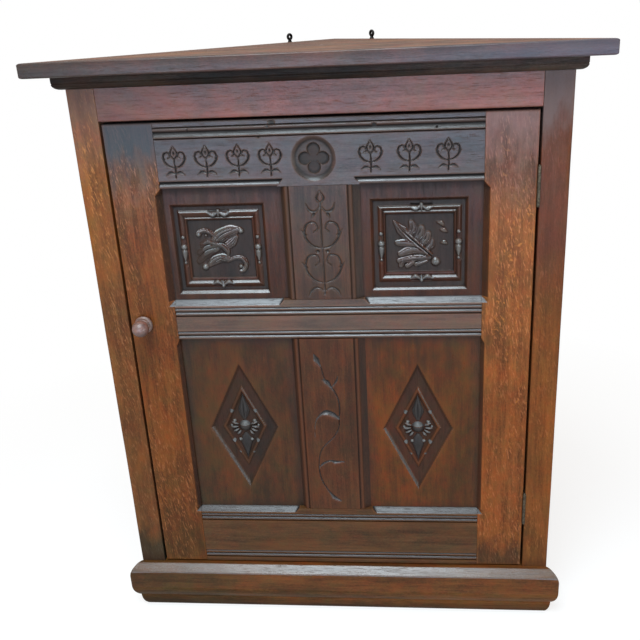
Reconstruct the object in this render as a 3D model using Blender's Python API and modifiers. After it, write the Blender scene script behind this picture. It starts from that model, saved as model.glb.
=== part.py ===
"""Hanging corner cupboard: a triangular oak carcass with one framed, panelled and carved door.

The front frame, door, mouldings, back planks, shelves, butt hinges, turn latch and hanging eyes
are separate pieces. The plan is a right-angled triangle whose two short sides lie on the walls.
"""

import math

import bmesh
import bpy
from mathutils import Matrix, Vector

# All sizes are in metres. Widths run along X, depths along +Y into the corner, heights along +Z.

# Carcass
CARCASS_WIDTH = 0.620
FRAME_THICKNESS = 0.022
FRONT_STILE_WIDTH = 0.036
OPENING_HEIGHT = 0.670
FRIEZE_HEIGHT = 0.041
FRAME_TENON_LENGTH = 0.013
FRAME_TENON_DEPTH = 0.006
FRAME_TENON_THICKNESS = 0.008
FRAME_TENON_SHOULDER = 0.007
TOP_THICKNESS = 0.0182
TOP_OVERHANG = 0.0395
TOP_EDGE_ROUND = 0.0012
PLANK_THICKNESS = 0.012
PLANKS_PER_WALL = 3
TONGUE_LENGTH = 0.004
TONGUE_THICKNESS = 0.004
FLOOR_THICKNESS = 0.016
SHELF_THICKNESS = 0.014
SHELF_SETBACK = 0.022
LOWER_SHELF_HEIGHT = 0.235
UPPER_SHELF_HEIGHT = 0.455
BEARER_HEIGHT = 0.018
BEARER_THICKNESS = 0.014
BEARER_FRONT_MARGIN = 0.020
STOP_THICKNESS = 0.0074
STOP_LAP = 0.010
STOP_GAP_ABOVE_LATCH = 0.011
STOP_GAP_BELOW_LATCH = 0.038

# Plinth and cornice mouldings, as projections in front of the frame
PLINTH_HEIGHT = 0.082
PLINTH_PROJECTION = 0.017
PLINTH_LEDGE = 0.0065
PLINTH_SPLAY_HEIGHT = 0.010
PLINTH_FACE_HEIGHT = 0.026
PLINTH_LOWER_SET_IN = 0.0088
PLINTH_CURVE = math.radians(50)
PLINTH_FILLET = 0.0007
PLINTH_FOOT = 0.001
CORNICE_HEIGHT = 0.0165
CORNICE_PROJECTION = 0.012
CORNICE_FILLET_HEIGHT = 0.0085
CORNICE_FOOT = 0.002

# Door
DOOR_THICKNESS = 0.0215
DOOR_SIDE_GAP = 0.003
DOOR_TOP_GAP = 0.003
DOOR_BOTTOM_GAP = 0.0025
DOOR_STILE_WIDTH = 0.0645
BOTTOM_RAIL_HEIGHT = 0.096
LOCK_RAIL_HEIGHT = 0.057
LOWER_PANEL_HEIGHT = 0.274
TOP_RAIL_HEIGHT = 0.084
MUNTIN_WIDTH = 0.102
TENON_LENGTH = 0.033
TENON_DEPTH = 0.0095
TENON_THICKNESS = 0.008
TENON_SHOULDER = 0.011
MUNTIN_TENON_WIDTH = 0.060
MUNTIN_TENON_LENGTH = 0.017
ARRIS_ROUND = 0.001
REED_WIDTH = 0.0063
REED_DEPTH = 0.0018
WIDE_REED_WIDTH = 0.0084
SILL_CHAMFER = 0.0075
REED_TO_SILL = 0.0025
UPPER_STILE_CHAMFER = 0.008
LOWER_STILE_CHAMFER = 0.005
CHAMFER_STOP = 0.009
RAIL_BEAD = 0.0075
EDGE_BEAD = 0.005
EDGE_QUIRK = 0.0015
EDGE_BEAD_RISE = 0.0015
MUNTIN_SPLAY_DEPTH = 0.006
MUNTIN_SPLAY_WIDTH = 0.0035

# Panels
PANEL_FACE_DEPTH = 0.008
PANEL_TONGUE_DEPTH = 0.0105
PANEL_TONGUE_THICKNESS = 0.006
PANEL_TONGUE_REACH = 0.007
PANEL_BACK_DEPTH = 0.0185
PANEL_PLAY = 0.0005
GROOVE_DEPTH = 0.008
PANEL_BORDER_FOOT = 0.010
PANEL_BORDER_SIDE = 0.0165
PANEL_BORDER_HEAD = 0.0235
PANEL_BEVEL = 0.004
PANEL_GROUND = 0.0025
PANEL_BEAD = 0.0075
PANEL_BEAD_RISE = 0.0032
PANEL_FIELD_STEP = 0.0022
LEAF_MARGIN = 0.010
LEAF_RISE = 0.0028
LOZENGE_WIDTH = 0.094
LOZENGE_HEIGHT = 0.198
LOZENGE_DROP = 0.005
LOZENGE_BEVEL = 0.0035
LOZENGE_MARGIN = 0.0045
LOZENGE_RIM = 0.0018
LOZENGE_RIM_RISE = 0.0022
LOZENGE_GROUND = 0.0045
ROSETTE_STEP = 0.0025
ROSETTE_RISE = 0.0022

# Roundel sunk in the top rail
ROUNDEL_RADIUS = 0.028
ROUNDEL_BEVEL = 0.0048
ROUNDEL_DEPTH = 0.0040
ROUNDEL_OFF_CENTRE = 0.0054
ROUNDEL_HEIGHT = 0.0335
LOBE_RADIUS = 0.0084
LOBE_OFFSET = 0.0112
LOBE_DEPTH = 0.0026

# Hinges
HINGE_LENGTH = 0.050
KNUCKLES = 5
KNUCKLE_RADIUS = 0.0022
KNUCKLE_TAB_INSET = 0.0001
PIN_RADIUS = 0.0012
PIN_HEAD_RADIUS = 0.0019
PIN_HEAD_HEIGHT = 0.0014
LEAF_THICKNESS = 0.0015
LEAF_WIDTH = 0.016
LEAF_GAP = 0.0006
UPPER_HINGE_FROM_DOOR_TOP = 0.092
LOWER_HINGE_FROM_DOOR_FOOT = 0.101

# Turn latch
KNOB_INSET = 0.019
KNOB_ABOVE_LOCK_RAIL = 0.025
COLLAR_RADIUS = 0.0125
COLLAR_HEIGHT = 0.0066
NECK_RADIUS = 0.0072
NECK_HEIGHT = 0.0030
BALL_RADIUS = 0.0113
SPINDLE_RADIUS = 0.004
LATCH_REACH = 0.031
LATCH_WIDTH = 0.010
LATCH_THICKNESS = 0.0034
LATCH_SET_BACK = 0.0008
LATCH_SCREW_RADIUS = 0.0014
LATCH_SCREW_LENGTH = 0.010
LATCH_WASHER_RADIUS = 0.0065
LATCH_WASHER_HEIGHT = 0.0020

# Hanging eyes
EYE_HEIGHT = 0.013
EYE_RING_RADIUS = 0.0043
EYE_WIRE_RADIUS = 0.0013
EYE_SHANK_RADIUS = 0.0012
EYE_SHANK_LENGTH = 0.013
EYE_FROM_CORNER = 0.090
EYE_FROM_WALL = 0.0045

# Clearances
FIT = 0.0003
CUT_MARGIN = 0.004
MERGE_DISTANCE = 0.00001

# Worked-out places, in the cupboard's own frame: Y = 0 is the face of the front frame
HALF_WIDTH = CARCASS_WIDTH / 2
OPENING_FOOT = PLINTH_HEIGHT
OPENING_HEAD = OPENING_FOOT + OPENING_HEIGHT
CORNICE_BASE = OPENING_HEAD + FRIEZE_HEIGHT
CARCASS_HEAD = CORNICE_BASE + CORNICE_HEIGHT
TOP_FACE = CARCASS_HEAD + TOP_THICKNESS
OPENING_HALF = HALF_WIDTH - FRONT_STILE_WIDTH
PLANK_FRONT = FRAME_THICKNESS + STOP_THICKNESS + 2 * FIT
FLOOR_FACE = PLINTH_HEIGHT - FIT
DOOR_HALF = OPENING_HALF - DOOR_SIDE_GAP
DOOR_FOOT = OPENING_FOOT + DOOR_BOTTOM_GAP
DOOR_HEAD = OPENING_HEAD - DOOR_TOP_GAP
RAIL_HALF = DOOR_HALF - DOOR_STILE_WIDTH
BOTTOM_RAIL_HEAD = DOOR_FOOT + BOTTOM_RAIL_HEIGHT
LOCK_RAIL_FOOT = BOTTOM_RAIL_HEAD + LOWER_PANEL_HEIGHT
LOCK_RAIL_HEAD = LOCK_RAIL_FOOT + LOCK_RAIL_HEIGHT
TOP_RAIL_FOOT = DOOR_HEAD - TOP_RAIL_HEIGHT
MUNTIN_HALF = MUNTIN_WIDTH / 2
GROOVE_FRONT = PANEL_TONGUE_DEPTH - FIT
GROOVE_BACK = PANEL_TONGUE_DEPTH + PANEL_TONGUE_THICKNESS + FIT
HINGE_X = OPENING_HALF - DOOR_SIDE_GAP / 2
HINGE_Y = -KNUCKLE_RADIUS - FIT
KNOB_X = -DOOR_HALF + KNOB_INSET
KNOB_Z = LOCK_RAIL_FOOT + KNOB_ABOVE_LOCK_RAIL
LATCH_FRONT = FRAME_THICKNESS + LATCH_SET_BACK
FRONT_PLANE = TOP_OVERHANG - (HALF_WIDTH + TOP_OVERHANG) / 2
ROOT_TWO = math.sqrt(2)

OAK = ((0.205, 0.085, 0.034), 0.45, 0.0)
DARK_OAK = ((0.105, 0.050, 0.030), 0.42, 0.0)
INNER_OAK = ((0.230, 0.125, 0.062), 0.65, 0.0)
BRASS = ((0.260, 0.190, 0.090), 0.42, 1.0)
IRON = ((0.022, 0.019, 0.017), 0.55, 1.0)


def clear_scene():
    for obj in list(bpy.data.objects):
        bpy.data.objects.remove(obj, do_unlink=True)


def new_collection(name):
    collection = bpy.data.collections.new(name)
    bpy.context.scene.collection.children.link(collection)
    return collection


def new_axis(name, place, parent=None):
    """An empty at a place in the cupboard's own frame, on which pieces are hung."""
    axis = bpy.data.objects.new(name, None)
    axis.empty_display_size = 0.03
    PARTS.objects.link(axis)
    if parent is None:
        axis.location = (0, FRONT_PLANE, 0)
    else:
        axis.parent = parent
        axis.location = Vector(place) - PLACE_OF[parent.name]
    PLACE_OF[name] = Vector(place)
    return axis


def new_material(name, finish):
    colour, roughness, metallic = finish
    material = bpy.data.materials.new(name)
    material.use_nodes = True
    shader = material.node_tree.nodes["Principled BSDF"]
    shader.inputs["Base Color"].default_value = (*colour, 1.0)
    shader.inputs["Roughness"].default_value = roughness
    shader.inputs["Metallic"].default_value = metallic
    return material


def add_part(name, mesh, axis, finish):
    """Hang a mesh, written in the cupboard's frame, on an axis as a named part."""
    obj = bpy.data.objects.new(name, mesh)
    PARTS.objects.link(obj)
    obj.parent = axis
    obj.location = -PLACE_OF[axis.name]
    mesh.materials.append(new_material(name, finish))
    return obj


def add_cutter(mesh, axis):
    obj = bpy.data.objects.new("cutter", mesh)
    CUTTERS.objects.link(obj)
    obj.parent = axis
    obj.location = -PLACE_OF[axis.name]
    obj.hide_render = True
    obj.display_type = "WIRE"
    return obj


def boolean(part, mesh, operation="DIFFERENCE"):
    modifier = part.modifiers.new(operation.lower(), "BOOLEAN")
    modifier.operation = operation
    modifier.solver = "EXACT"
    modifier.object = add_cutter(mesh, part.parent)


def shade_round(part, degrees=35):
    part.data.shade_smooth()
    part.data.set_sharp_from_angle(angle=math.radians(degrees))


def arc(centre, radii, start, end, steps):
    """Points of an elliptical arc between two angles in degrees, both ends included."""
    angles = [math.radians(start + (end - start) * i / steps) for i in range(steps + 1)]
    return [(centre[0] + radii[0] * math.cos(a), centre[1] + radii[1] * math.sin(a)) for a in angles]


def prism(outlines, start, end, direction):
    """Outlines of (u, v) points as a flat curve, extruded along X, Y or Z; inner outlines are holes."""
    axes = {
        "X": Matrix(((0, 0, 1, 0), (1, 0, 0, 0), (0, 1, 0, 0), (0, 0, 0, 1))),
        "Y": Matrix(((1, 0, 0, 0), (0, 0, -1, 0), (0, 1, 0, 0), (0, 0, 0, 1))),
        "Z": Matrix.Identity(4),
    }
    middle = {"X": 0, "Y": 1, "Z": 2}[direction]
    shift = Vector((0, 0, 0))
    shift[middle] = (start + end) / 2
    curve = bpy.data.curves.new("outline", "CURVE")
    curve.dimensions = "2D"
    curve.fill_mode = "BOTH"
    curve.extrude = (end - start) / 2
    for outline in outlines:
        spline = curve.splines.new("POLY")
        spline.points.add(len(outline) - 1)
        for point, (u, v) in zip(spline.points, outline):
            point.co = (u, v, 0, 1)
        spline.use_cyclic_u = True
    holder = bpy.data.objects.new("outline", curve)
    bpy.context.scene.collection.objects.link(holder)
    evaluated = holder.evaluated_get(bpy.context.evaluated_depsgraph_get())
    mesh = bpy.data.meshes.new_from_object(evaluated)
    bpy.data.objects.remove(holder, do_unlink=True)
    mesh.transform(Matrix.Translation(shift) @ axes[direction])
    bm = bmesh.new()
    bm.from_mesh(mesh)
    bmesh.ops.remove_doubles(bm, verts=bm.verts, dist=MERGE_DISTANCE)
    if len(outlines) == 1:
        for place in (start, end):
            cap = [f for f in bm.faces if all(abs(v.co[middle] - place) < MERGE_DISTANCE for v in f.verts)]
            bmesh.ops.dissolve_faces(bm, faces=cap)
    bmesh.ops.recalc_face_normals(bm, faces=bm.faces)
    bm.to_mesh(mesh)
    bm.free()
    return mesh


def box(low, high):
    bm = bmesh.new()
    bmesh.ops.create_cube(bm, size=1.0)
    for vert in bm.verts:
        for k in range(3):
            vert.co[k] = low[k] if vert.co[k] < 0 else high[k]
    mesh = bpy.data.meshes.new("box")
    bm.to_mesh(mesh)
    bm.free()
    return mesh


def cylinder(radius, start, end, segments, matrix, end_radius=None):
    """A cylinder or cone between two heights on its own Z axis, then placed by a matrix."""
    bm = bmesh.new()
    top = radius if end_radius is None else end_radius
    bmesh.ops.create_cone(
        bm, cap_ends=True, segments=segments, radius1=radius, radius2=top, depth=end - start,
        matrix=matrix @ Matrix.Translation((0, 0, (start + end) / 2)))
    mesh = bpy.data.meshes.new("cylinder")
    bm.to_mesh(mesh)
    bm.free()
    return mesh


def hull(points):
    bm = bmesh.new()
    for point in points:
        bm.verts.new(point)
    bmesh.ops.convex_hull(bm, input=bm.verts)
    bmesh.ops.recalc_face_normals(bm, faces=bm.faces)
    mesh = bpy.data.meshes.new("hull")
    bm.to_mesh(mesh)
    bm.free()
    return mesh


def step_face(mesh, normal, steps):
    """Inset the face that looks along a normal again and again: each step is (inset, rise)."""
    bm = bmesh.new()
    bm.from_mesh(mesh)
    face = max(bm.faces, key=lambda f: f.normal.dot(normal) * f.calc_area())
    for inset, rise in steps:
        bmesh.ops.inset_individual(bm, faces=[face], thickness=inset, depth=rise, use_even_offset=True)
    bm.to_mesh(mesh)
    bm.free()
    return mesh


def turned(name, profile, steps, axis, place, finish):
    """A profile of (radius, height) points, top to bottom, turned about the part's own Z axis."""
    mesh = bpy.data.meshes.new(name)
    mesh.from_pydata([(r, 0, h) for r, h in profile], [(i, i + 1) for i in range(len(profile) - 1)], [])
    obj = add_part(name, mesh, axis, finish)
    obj.location = Vector(place) - PLACE_OF[axis.name]
    screw = obj.modifiers.new("turn", "SCREW")
    screw.axis = "Z"
    screw.steps = steps
    screw.render_steps = steps
    screw.use_merge_vertices = True
    screw.merge_threshold = MERGE_DISTANCE
    screw.use_smooth_shade = True
    return obj


def chamfer_cutter(stations, corner, along, into_edge, into_face):
    """A stopped chamfer on an arris: each station is (place along it, face leg, edge leg)."""
    points = []
    for place, face_leg, edge_leg in stations:
        at = Vector(corner) + Vector(along) * place
        for u, v in ((-CUT_MARGIN, -CUT_MARGIN), (face_leg, -CUT_MARGIN), (face_leg, 0),
                     (0, edge_leg), (-CUT_MARGIN, edge_leg)):
            points.append(at + Vector(into_edge) * u + Vector(into_face) * v)
    return hull(points)


def wall_point(side, along, inward):
    """Plan place at a distance along a wall from the corner and a distance in from that wall."""
    return (side * (along - inward) / ROOT_TWO, HALF_WIDTH - (along + inward) / ROOT_TWO)


def to_wall_planes(mesh):
    """Cut both ends of a moulding that runs along X on the two wall planes."""
    for vert in mesh.vertices:
        vert.co.x = math.copysign(HALF_WIDTH - vert.co.y, vert.co.x)
    return mesh


def build_front_frame():
    tenon = (FRAME_TENON_DEPTH, FRAME_TENON_DEPTH + FRAME_TENON_THICKNESS)
    tenon_end = OPENING_HALF + FRAME_TENON_LENGTH
    rails = {
        "frieze_rail": (OPENING_HEAD, CARCASS_HEAD),
        "base_rail": (0, OPENING_FOOT),
    }
    for name, (foot, head) in rails.items():
        outline = [(0, foot + ARRIS_ROUND), (0, head), (FRAME_THICKNESS, head), (FRAME_THICKNESS, foot)]
        outline.append((ARRIS_ROUND, foot))
        rail = add_part(name, prism([outline], FIT - OPENING_HALF, OPENING_HALF - FIT, "X"), CUPBOARD, OAK)
        low = (-tenon_end, tenon[0], foot + FRAME_TENON_SHOULDER)
        high = (tenon_end, tenon[1], head - FRAME_TENON_SHOULDER)
        boolean(rail, box(low, high), "UNION")
    for name, side in (("left_front_stile", -1), ("right_front_stile", 1)):
        outline = [(side * (OPENING_HALF + ARRIS_ROUND), 0), (side * HALF_WIDTH, 0)]
        outline += [(side * (HALF_WIDTH - FRAME_THICKNESS), FRAME_THICKNESS)]
        outline += [(side * OPENING_HALF, FRAME_THICKNESS), (side * OPENING_HALF, ARRIS_ROUND)]
        stile = add_part(name, prism([outline], 0, CARCASS_HEAD, "Z"), CUPBOARD, OAK)
        for foot, head in rails.values():
            inner = side * (OPENING_HALF - CUT_MARGIN)
            outer = side * (tenon_end + FIT)
            low = (min(inner, outer), tenon[0] - FIT, foot + FRAME_TENON_SHOULDER - FIT)
            high = (max(inner, outer), tenon[1] + FIT, head - FRAME_TENON_SHOULDER + FIT)
            boolean(stile, box(low, high))
        if side > 0:
            for height in HINGE_HEIGHTS.values():
                boolean(stile, hinge_pocket(1, height))


def plinth_curve(start, end):
    """A rounded face that leaves its start upright and leans back to its lower end."""
    back = (end[0] - start[0]) / (1 - math.cos(PLINTH_CURVE))
    down = (start[1] - end[1]) / math.sin(PLINTH_CURVE)
    return arc((start[0] + back, start[1]), (-back, -down), 0, math.degrees(PLINTH_CURVE), 6)


def build_mouldings():
    splay_foot = PLINTH_HEIGHT - PLINTH_SPLAY_HEIGHT
    face_foot = splay_foot - PLINTH_FACE_HEIGHT
    step = face_foot / 2
    inner = PLINTH_PROJECTION - PLINTH_LOWER_SET_IN
    lower = inner - PLINTH_FILLET
    profile = [(-FIT, PLINTH_HEIGHT), (-PLINTH_LEDGE, PLINTH_HEIGHT), (-PLINTH_PROJECTION, splay_foot)]
    profile += plinth_curve((-PLINTH_PROJECTION, face_foot), (-inner, step))
    profile += plinth_curve((-lower, step - PLINTH_FILLET), (-PLINTH_FOOT, 0))
    profile += [(-FIT, 0)]
    add_part("plinth_moulding", to_wall_planes(prism([profile], -1, 1, "X")), CUPBOARD, DARK_OAK)

    head = CARCASS_HEAD - FIT
    fillet = CARCASS_HEAD - CORNICE_FILLET_HEIGHT
    profile = [(-FIT, head), (-CORNICE_PROJECTION, head)]
    cove = (CORNICE_FOOT - CORNICE_PROJECTION, CORNICE_BASE - fillet)
    profile += arc((-CORNICE_FOOT, fillet), cove, 0, 90, 6)
    profile += [(-FIT, CORNICE_BASE)]
    add_part("cornice_moulding", to_wall_planes(prism([profile], -1, 1, "X")), CUPBOARD, OAK)


def build_top():
    half = HALF_WIDTH + TOP_OVERHANG
    outline = [(-half, -TOP_OVERHANG), (half, -TOP_OVERHANG), (0, HALF_WIDTH)]
    top = add_part("top_board", prism([outline], CARCASS_HEAD + FIT, TOP_FACE, "Z"), CUPBOARD, OAK)
    bevel = top.modifiers.new("worn_edges", "BEVEL")
    bevel.width = TOP_EDGE_ROUND
    bevel.segments = 2
    for name, side in (("left_hanging_eye", -1), ("right_hanging_eye", 1)):
        x, y = wall_point(side, EYE_FROM_CORNER, EYE_FROM_WALL)
        hole = Matrix.Translation((x, y, TOP_FACE))
        depth = EYE_SHANK_LENGTH + FIT
        boolean(top, cylinder(EYE_SHANK_RADIUS + FIT, -depth, CUT_MARGIN, 12, hole))
        build_eye(name, side, x, y)


def build_eye(name, side, x, y):
    """A screw eye whose ring lies flat along its wall."""
    centre = TOP_FACE + EYE_HEIGHT - EYE_RING_RADIUS - EYE_WIRE_RADIUS
    bpy.ops.mesh.primitive_torus_add(
        major_radius=EYE_RING_RADIUS, minor_radius=EYE_WIRE_RADIUS, major_segments=24, minor_segments=10)
    ring = bpy.context.object
    mesh = ring.data
    bpy.data.objects.remove(ring, do_unlink=True)
    turn = Matrix.Rotation(-side * math.radians(45), 4, "Z") @ Matrix.Rotation(math.radians(90), 4, "X")
    mesh.transform(Matrix.Translation((x, y, centre)) @ turn)
    eye = add_part(name, mesh, CUPBOARD, IRON)
    shank_head = EYE_HEIGHT - 2 * EYE_RING_RADIUS - EYE_WIRE_RADIUS
    place = Matrix.Translation((x, y, TOP_FACE))
    boolean(eye, cylinder(EYE_SHANK_RADIUS, -EYE_SHANK_LENGTH, shank_head, 12, place), "UNION")
    shade_round(eye)


def build_back_planks():
    """Vertical tongued and grooved planks on each wall, mitred together in the corner."""
    front = (HALF_WIDTH - PLANK_FRONT) * ROOT_TWO
    pitch = front / PLANKS_PER_WALL
    tongue_low = (PLANK_THICKNESS - TONGUE_THICKNESS) / 2
    tongue_high = tongue_low + TONGUE_THICKNESS
    for side, wall in ((-1, "left"), (1, "right")):
        for i in range(PLANKS_PER_WALL):
            near = i * pitch
            far = near + pitch - FIT
            if i == 0:
                points = [(FIT, 0)]
                closing = [(PLANK_THICKNESS + FIT, PLANK_THICKNESS)]
            else:
                depth = near + TONGUE_LENGTH + FIT
                points = [(near, 0)]
                closing = [(near, PLANK_THICKNESS), (near, tongue_high + FIT), (depth, tongue_high + FIT)]
                closing += [(depth, tongue_low - FIT), (near, tongue_low - FIT)]
            if i == PLANKS_PER_WALL - 1:
                points += [(front, 0), (front - PLANK_THICKNESS, PLANK_THICKNESS)]
            else:
                tip = far + TONGUE_LENGTH
                points += [(far, 0), (far, tongue_low), (tip, tongue_low), (tip, tongue_high)]
                points += [(far, tongue_high), (far, PLANK_THICKNESS)]
            outline = [wall_point(side, along, inward) for along, inward in points + closing]
            plank = prism([outline], 0, CARCASS_HEAD, "Z")
            add_part(f"{wall}_back_plank_{i + 1}", plank, CUPBOARD, INNER_OAK)


def build_shelves():
    inset = (PLANK_THICKNESS + FIT) * ROOT_TWO
    boards = {
        "floor_board": (FLOOR_FACE, FLOOR_THICKNESS, FRAME_THICKNESS + FIT),
        "lower_shelf": (OPENING_FOOT + LOWER_SHELF_HEIGHT, SHELF_THICKNESS, FRAME_THICKNESS + SHELF_SETBACK),
        "upper_shelf": (OPENING_FOOT + UPPER_SHELF_HEIGHT, SHELF_THICKNESS, FRAME_THICKNESS + SHELF_SETBACK),
    }
    for name, (face, thickness, front) in boards.items():
        half = HALF_WIDTH - inset - front
        outline = [(-half, front), (half, front), (0, HALF_WIDTH - inset)]
        add_part(name, prism([outline], face - thickness, face, "Z"), CUPBOARD, INNER_OAK)
        head = face - thickness - FIT
        inner = PLANK_THICKNESS + FIT
        far = (HALF_WIDTH - max(front, PLANK_FRONT)) * ROOT_TWO - inner - BEARER_FRONT_MARGIN
        near = inner + BEARER_THICKNESS + FIT
        for side, wall in ((-1, "left"), (1, "right")):
            corners = ((near, inner), (far, inner), (far - BEARER_THICKNESS, inner + BEARER_THICKNESS))
            corners += ((near, inner + BEARER_THICKNESS),)
            outline = [wall_point(side, along, inward) for along, inward in corners]
            bearer = prism([outline], head - BEARER_HEIGHT, head, "Z")
            add_part(f"{wall}_{name}_bearer", bearer, CUPBOARD, INNER_OAK)


def build_stops():
    """Strips behind the front stiles: the door shuts on them, and the latch passes through a gap in one."""
    front = FRAME_THICKNESS + FIT
    back = front + STOP_THICKNESS
    inner = OPENING_HALF - STOP_LAP
    foot = FLOOR_FACE + FIT
    stops = {
        "left_stop_lower": (-1, foot, KNOB_Z - STOP_GAP_BELOW_LATCH),
        "left_stop_upper": (-1, KNOB_Z + STOP_GAP_ABOVE_LATCH, CARCASS_HEAD),
        "right_stop": (1, foot, CARCASS_HEAD),
    }
    for name, (side, low, high) in stops.items():
        outline = [(side * inner, front), (side * (HALF_WIDTH - front), front)]
        outline += [(side * (HALF_WIDTH - back), back), (side * inner, back)]
        add_part(name, prism([outline], low, high, "Z"), CUPBOARD, INNER_OAK)


def hinge_pocket(side, height):
    """The shallow housing for one leaf: side 1 is in the front stile, -1 in the door's edge."""
    floor = HINGE_X + side * (LEAF_GAP / 2 + LEAF_THICKNESS + FIT)
    mouth = HINGE_X
    reach = HINGE_LENGTH / 2 + FIT
    low = (min(floor, mouth), -CUT_MARGIN, height - reach)
    high = (max(floor, mouth), LEAF_WIDTH + 2 * FIT, height + reach)
    return box(low, high)


def knuckle_outline(side):
    """A knuckle with the tab that joins it to its leaf, and the bore for the pin."""
    near = LEAF_GAP / 2 + KNUCKLE_TAB_INSET
    far = LEAF_GAP / 2 + LEAF_THICKNESS - KNUCKLE_TAB_INSET
    start = math.degrees(math.acos(-near / KNUCKLE_RADIUS))
    end = math.degrees(math.acos(-far / KNUCKLE_RADIUS)) - 360
    ring = arc((0, 0), (KNUCKLE_RADIUS, KNUCKLE_RADIUS), start, end, 18)
    tab_end = -HINGE_Y + FIT + 2 * LEAF_THICKNESS
    ring += [(-far, tab_end), (-near, tab_end)]
    bore = arc((0, 0), (PIN_RADIUS + FIT, PIN_RADIUS + FIT), 0, 337.5, 15)
    return [[(HINGE_X - side * u, HINGE_Y + v) for u, v in outline] for outline in (ring, bore)]


def build_hinges():
    """Brass butts with interleaved knuckles: the frame carries the odd ones, the door the even ones."""
    knuckle = HINGE_LENGTH / KNUCKLES
    for place, height in HINGE_HEIGHTS.items():
        foot = height - HINGE_LENGTH / 2
        leaves = (("frame", 1, CUPBOARD, 0), ("door", -1, DOOR, 1))
        for owner, side, axis, first in leaves:
            near = HINGE_X + side * LEAF_GAP / 2
            far = near + side * LEAF_THICKNESS
            plate = box((min(near, far), FIT, foot), (max(near, far), FIT + LEAF_WIDTH, foot + HINGE_LENGTH))
            leaf = add_part(f"{place}_hinge_{owner}_leaf", plate, axis, BRASS)
            for i in range(first, KNUCKLES, 2):
                low = foot + i * knuckle + FIT / 2
                boolean(leaf, prism(knuckle_outline(side), low, low + knuckle - FIT, "Z"), "UNION")
            shade_round(leaf)
        half = HINGE_LENGTH / 2 + FIT
        tip = arc((0, half), (PIN_HEAD_RADIUS, PIN_HEAD_HEIGHT), 90, 0, 3)
        foot_tip = [(r, -h) for r, h in reversed(tip)]
        profile = tip + [(PIN_RADIUS, half), (PIN_RADIUS, -half)] + foot_tip
        turned(f"{place}_hinge_pin", profile, 14, CUPBOARD, (HINGE_X, HINGE_Y, height), BRASS)


def build_door_stiles():
    rails = ((DOOR_FOOT, BOTTOM_RAIL_HEAD), (LOCK_RAIL_FOOT, LOCK_RAIL_HEAD), (TOP_RAIL_FOOT, DOOR_HEAD))
    openings = (
        (BOTTOM_RAIL_HEAD, LOCK_RAIL_FOOT, LOWER_STILE_CHAMFER),
        (LOCK_RAIL_HEAD, TOP_RAIL_FOOT, UPPER_STILE_CHAMFER),
    )
    for name, side in (("door_lock_stile", -1), ("door_hinge_stile", 1)):
        inner, outer = side * RAIL_HALF, side * DOOR_HALF
        outline = [(inner, 0), (outer - side * ARRIS_ROUND, 0), (outer, ARRIS_ROUND)]
        outline += [(outer, DOOR_THICKNESS), (inner, DOOR_THICKNESS)]
        stile = add_part(name, prism([outline], DOOR_FOOT, DOOR_HEAD, "Z"), DOOR, OAK)
        mouth = inner - side * CUT_MARGIN
        for foot, head in rails:
            end = inner + side * (TENON_LENGTH + FIT)
            low = (min(mouth, end), TENON_DEPTH - FIT, foot + TENON_SHOULDER - FIT)
            high = (max(mouth, end), TENON_DEPTH + TENON_THICKNESS + FIT, head - TENON_SHOULDER + FIT)
            boolean(stile, box(low, high))
        for foot, head, leg in openings:
            floor = inner + side * GROOVE_DEPTH
            low = (min(mouth, floor), GROOVE_FRONT, foot - GROOVE_DEPTH)
            high = (max(mouth, floor), GROOVE_BACK, head + GROOVE_DEPTH)
            boolean(stile, box(low, high))
            stations = [(foot, leg, leg), (head - CHAMFER_STOP, leg, leg), (head, 0, 0)]
            stations.insert(0, (foot - leg, 0, 0))
            boolean(stile, chamfer_cutter(stations, (inner, 0, 0), (0, 0, 1), (side, 0, 0), (0, 1, 0)))
        if side > 0:
            for height in HINGE_HEIGHTS.values():
                boolean(stile, hinge_pocket(-1, height))
        else:
            hole = Matrix.Translation((KNOB_X, 0, KNOB_Z)) @ Matrix.Rotation(math.radians(-90), 4, "X")
            bore = cylinder(SPINDLE_RADIUS + FIT, -CUT_MARGIN, DOOR_THICKNESS + CUT_MARGIN, 24, hole)
            boolean(stile, bore)


def reed(foot, width):
    """A half-round reed between two quirks, as (depth, height) points going up."""
    return [(REED_DEPTH + v, u) for u, v in arc((foot + width / 2, 0), (-width / 2, -REED_DEPTH), 0, 180, 6)]


def rail_outline(foot, head, face, groove_foot, groove_head):
    """A rail's section: its moulded face going up, then the grooves that take the panels."""
    outline = list(face)
    if groove_head:
        floor = head - GROOVE_DEPTH
        outline += [(GROOVE_FRONT, head), (GROOVE_FRONT, floor), (GROOVE_BACK, floor), (GROOVE_BACK, head)]
    outline += [(DOOR_THICKNESS, head), (DOOR_THICKNESS, foot)]
    if groove_foot:
        floor = foot + GROOVE_DEPTH
        outline += [(GROOVE_BACK, foot), (GROOVE_BACK, floor), (GROOVE_FRONT, floor), (GROOVE_FRONT, foot)]
    return outline


def build_rail(name, foot, head, face, finish, groove_foot, groove_head):
    outline = rail_outline(foot, head, face, groove_foot, groove_head)
    length = RAIL_HALF - FIT
    rail = add_part(name, prism([outline], -length, length, "X"), DOOR, finish)
    end = RAIL_HALF + TENON_LENGTH
    low = (-end, TENON_DEPTH, foot + TENON_SHOULDER)
    high = (end, TENON_DEPTH + TENON_THICKNESS, head - TENON_SHOULDER)
    boolean(rail, box(low, high), "UNION")
    half = MUNTIN_TENON_WIDTH / 2 + FIT
    depth = MUNTIN_TENON_LENGTH + FIT
    mortises = []
    if groove_head:
        mortises.append((head - depth, head + CUT_MARGIN))
    if groove_foot:
        mortises.append((foot - CUT_MARGIN, foot + depth))
    for start, end in mortises:
        low = (-half, TENON_DEPTH - FIT, start)
        high = (half, TENON_DEPTH + TENON_THICKNESS + FIT, end)
        boolean(rail, box(low, high))
    return rail


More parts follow.
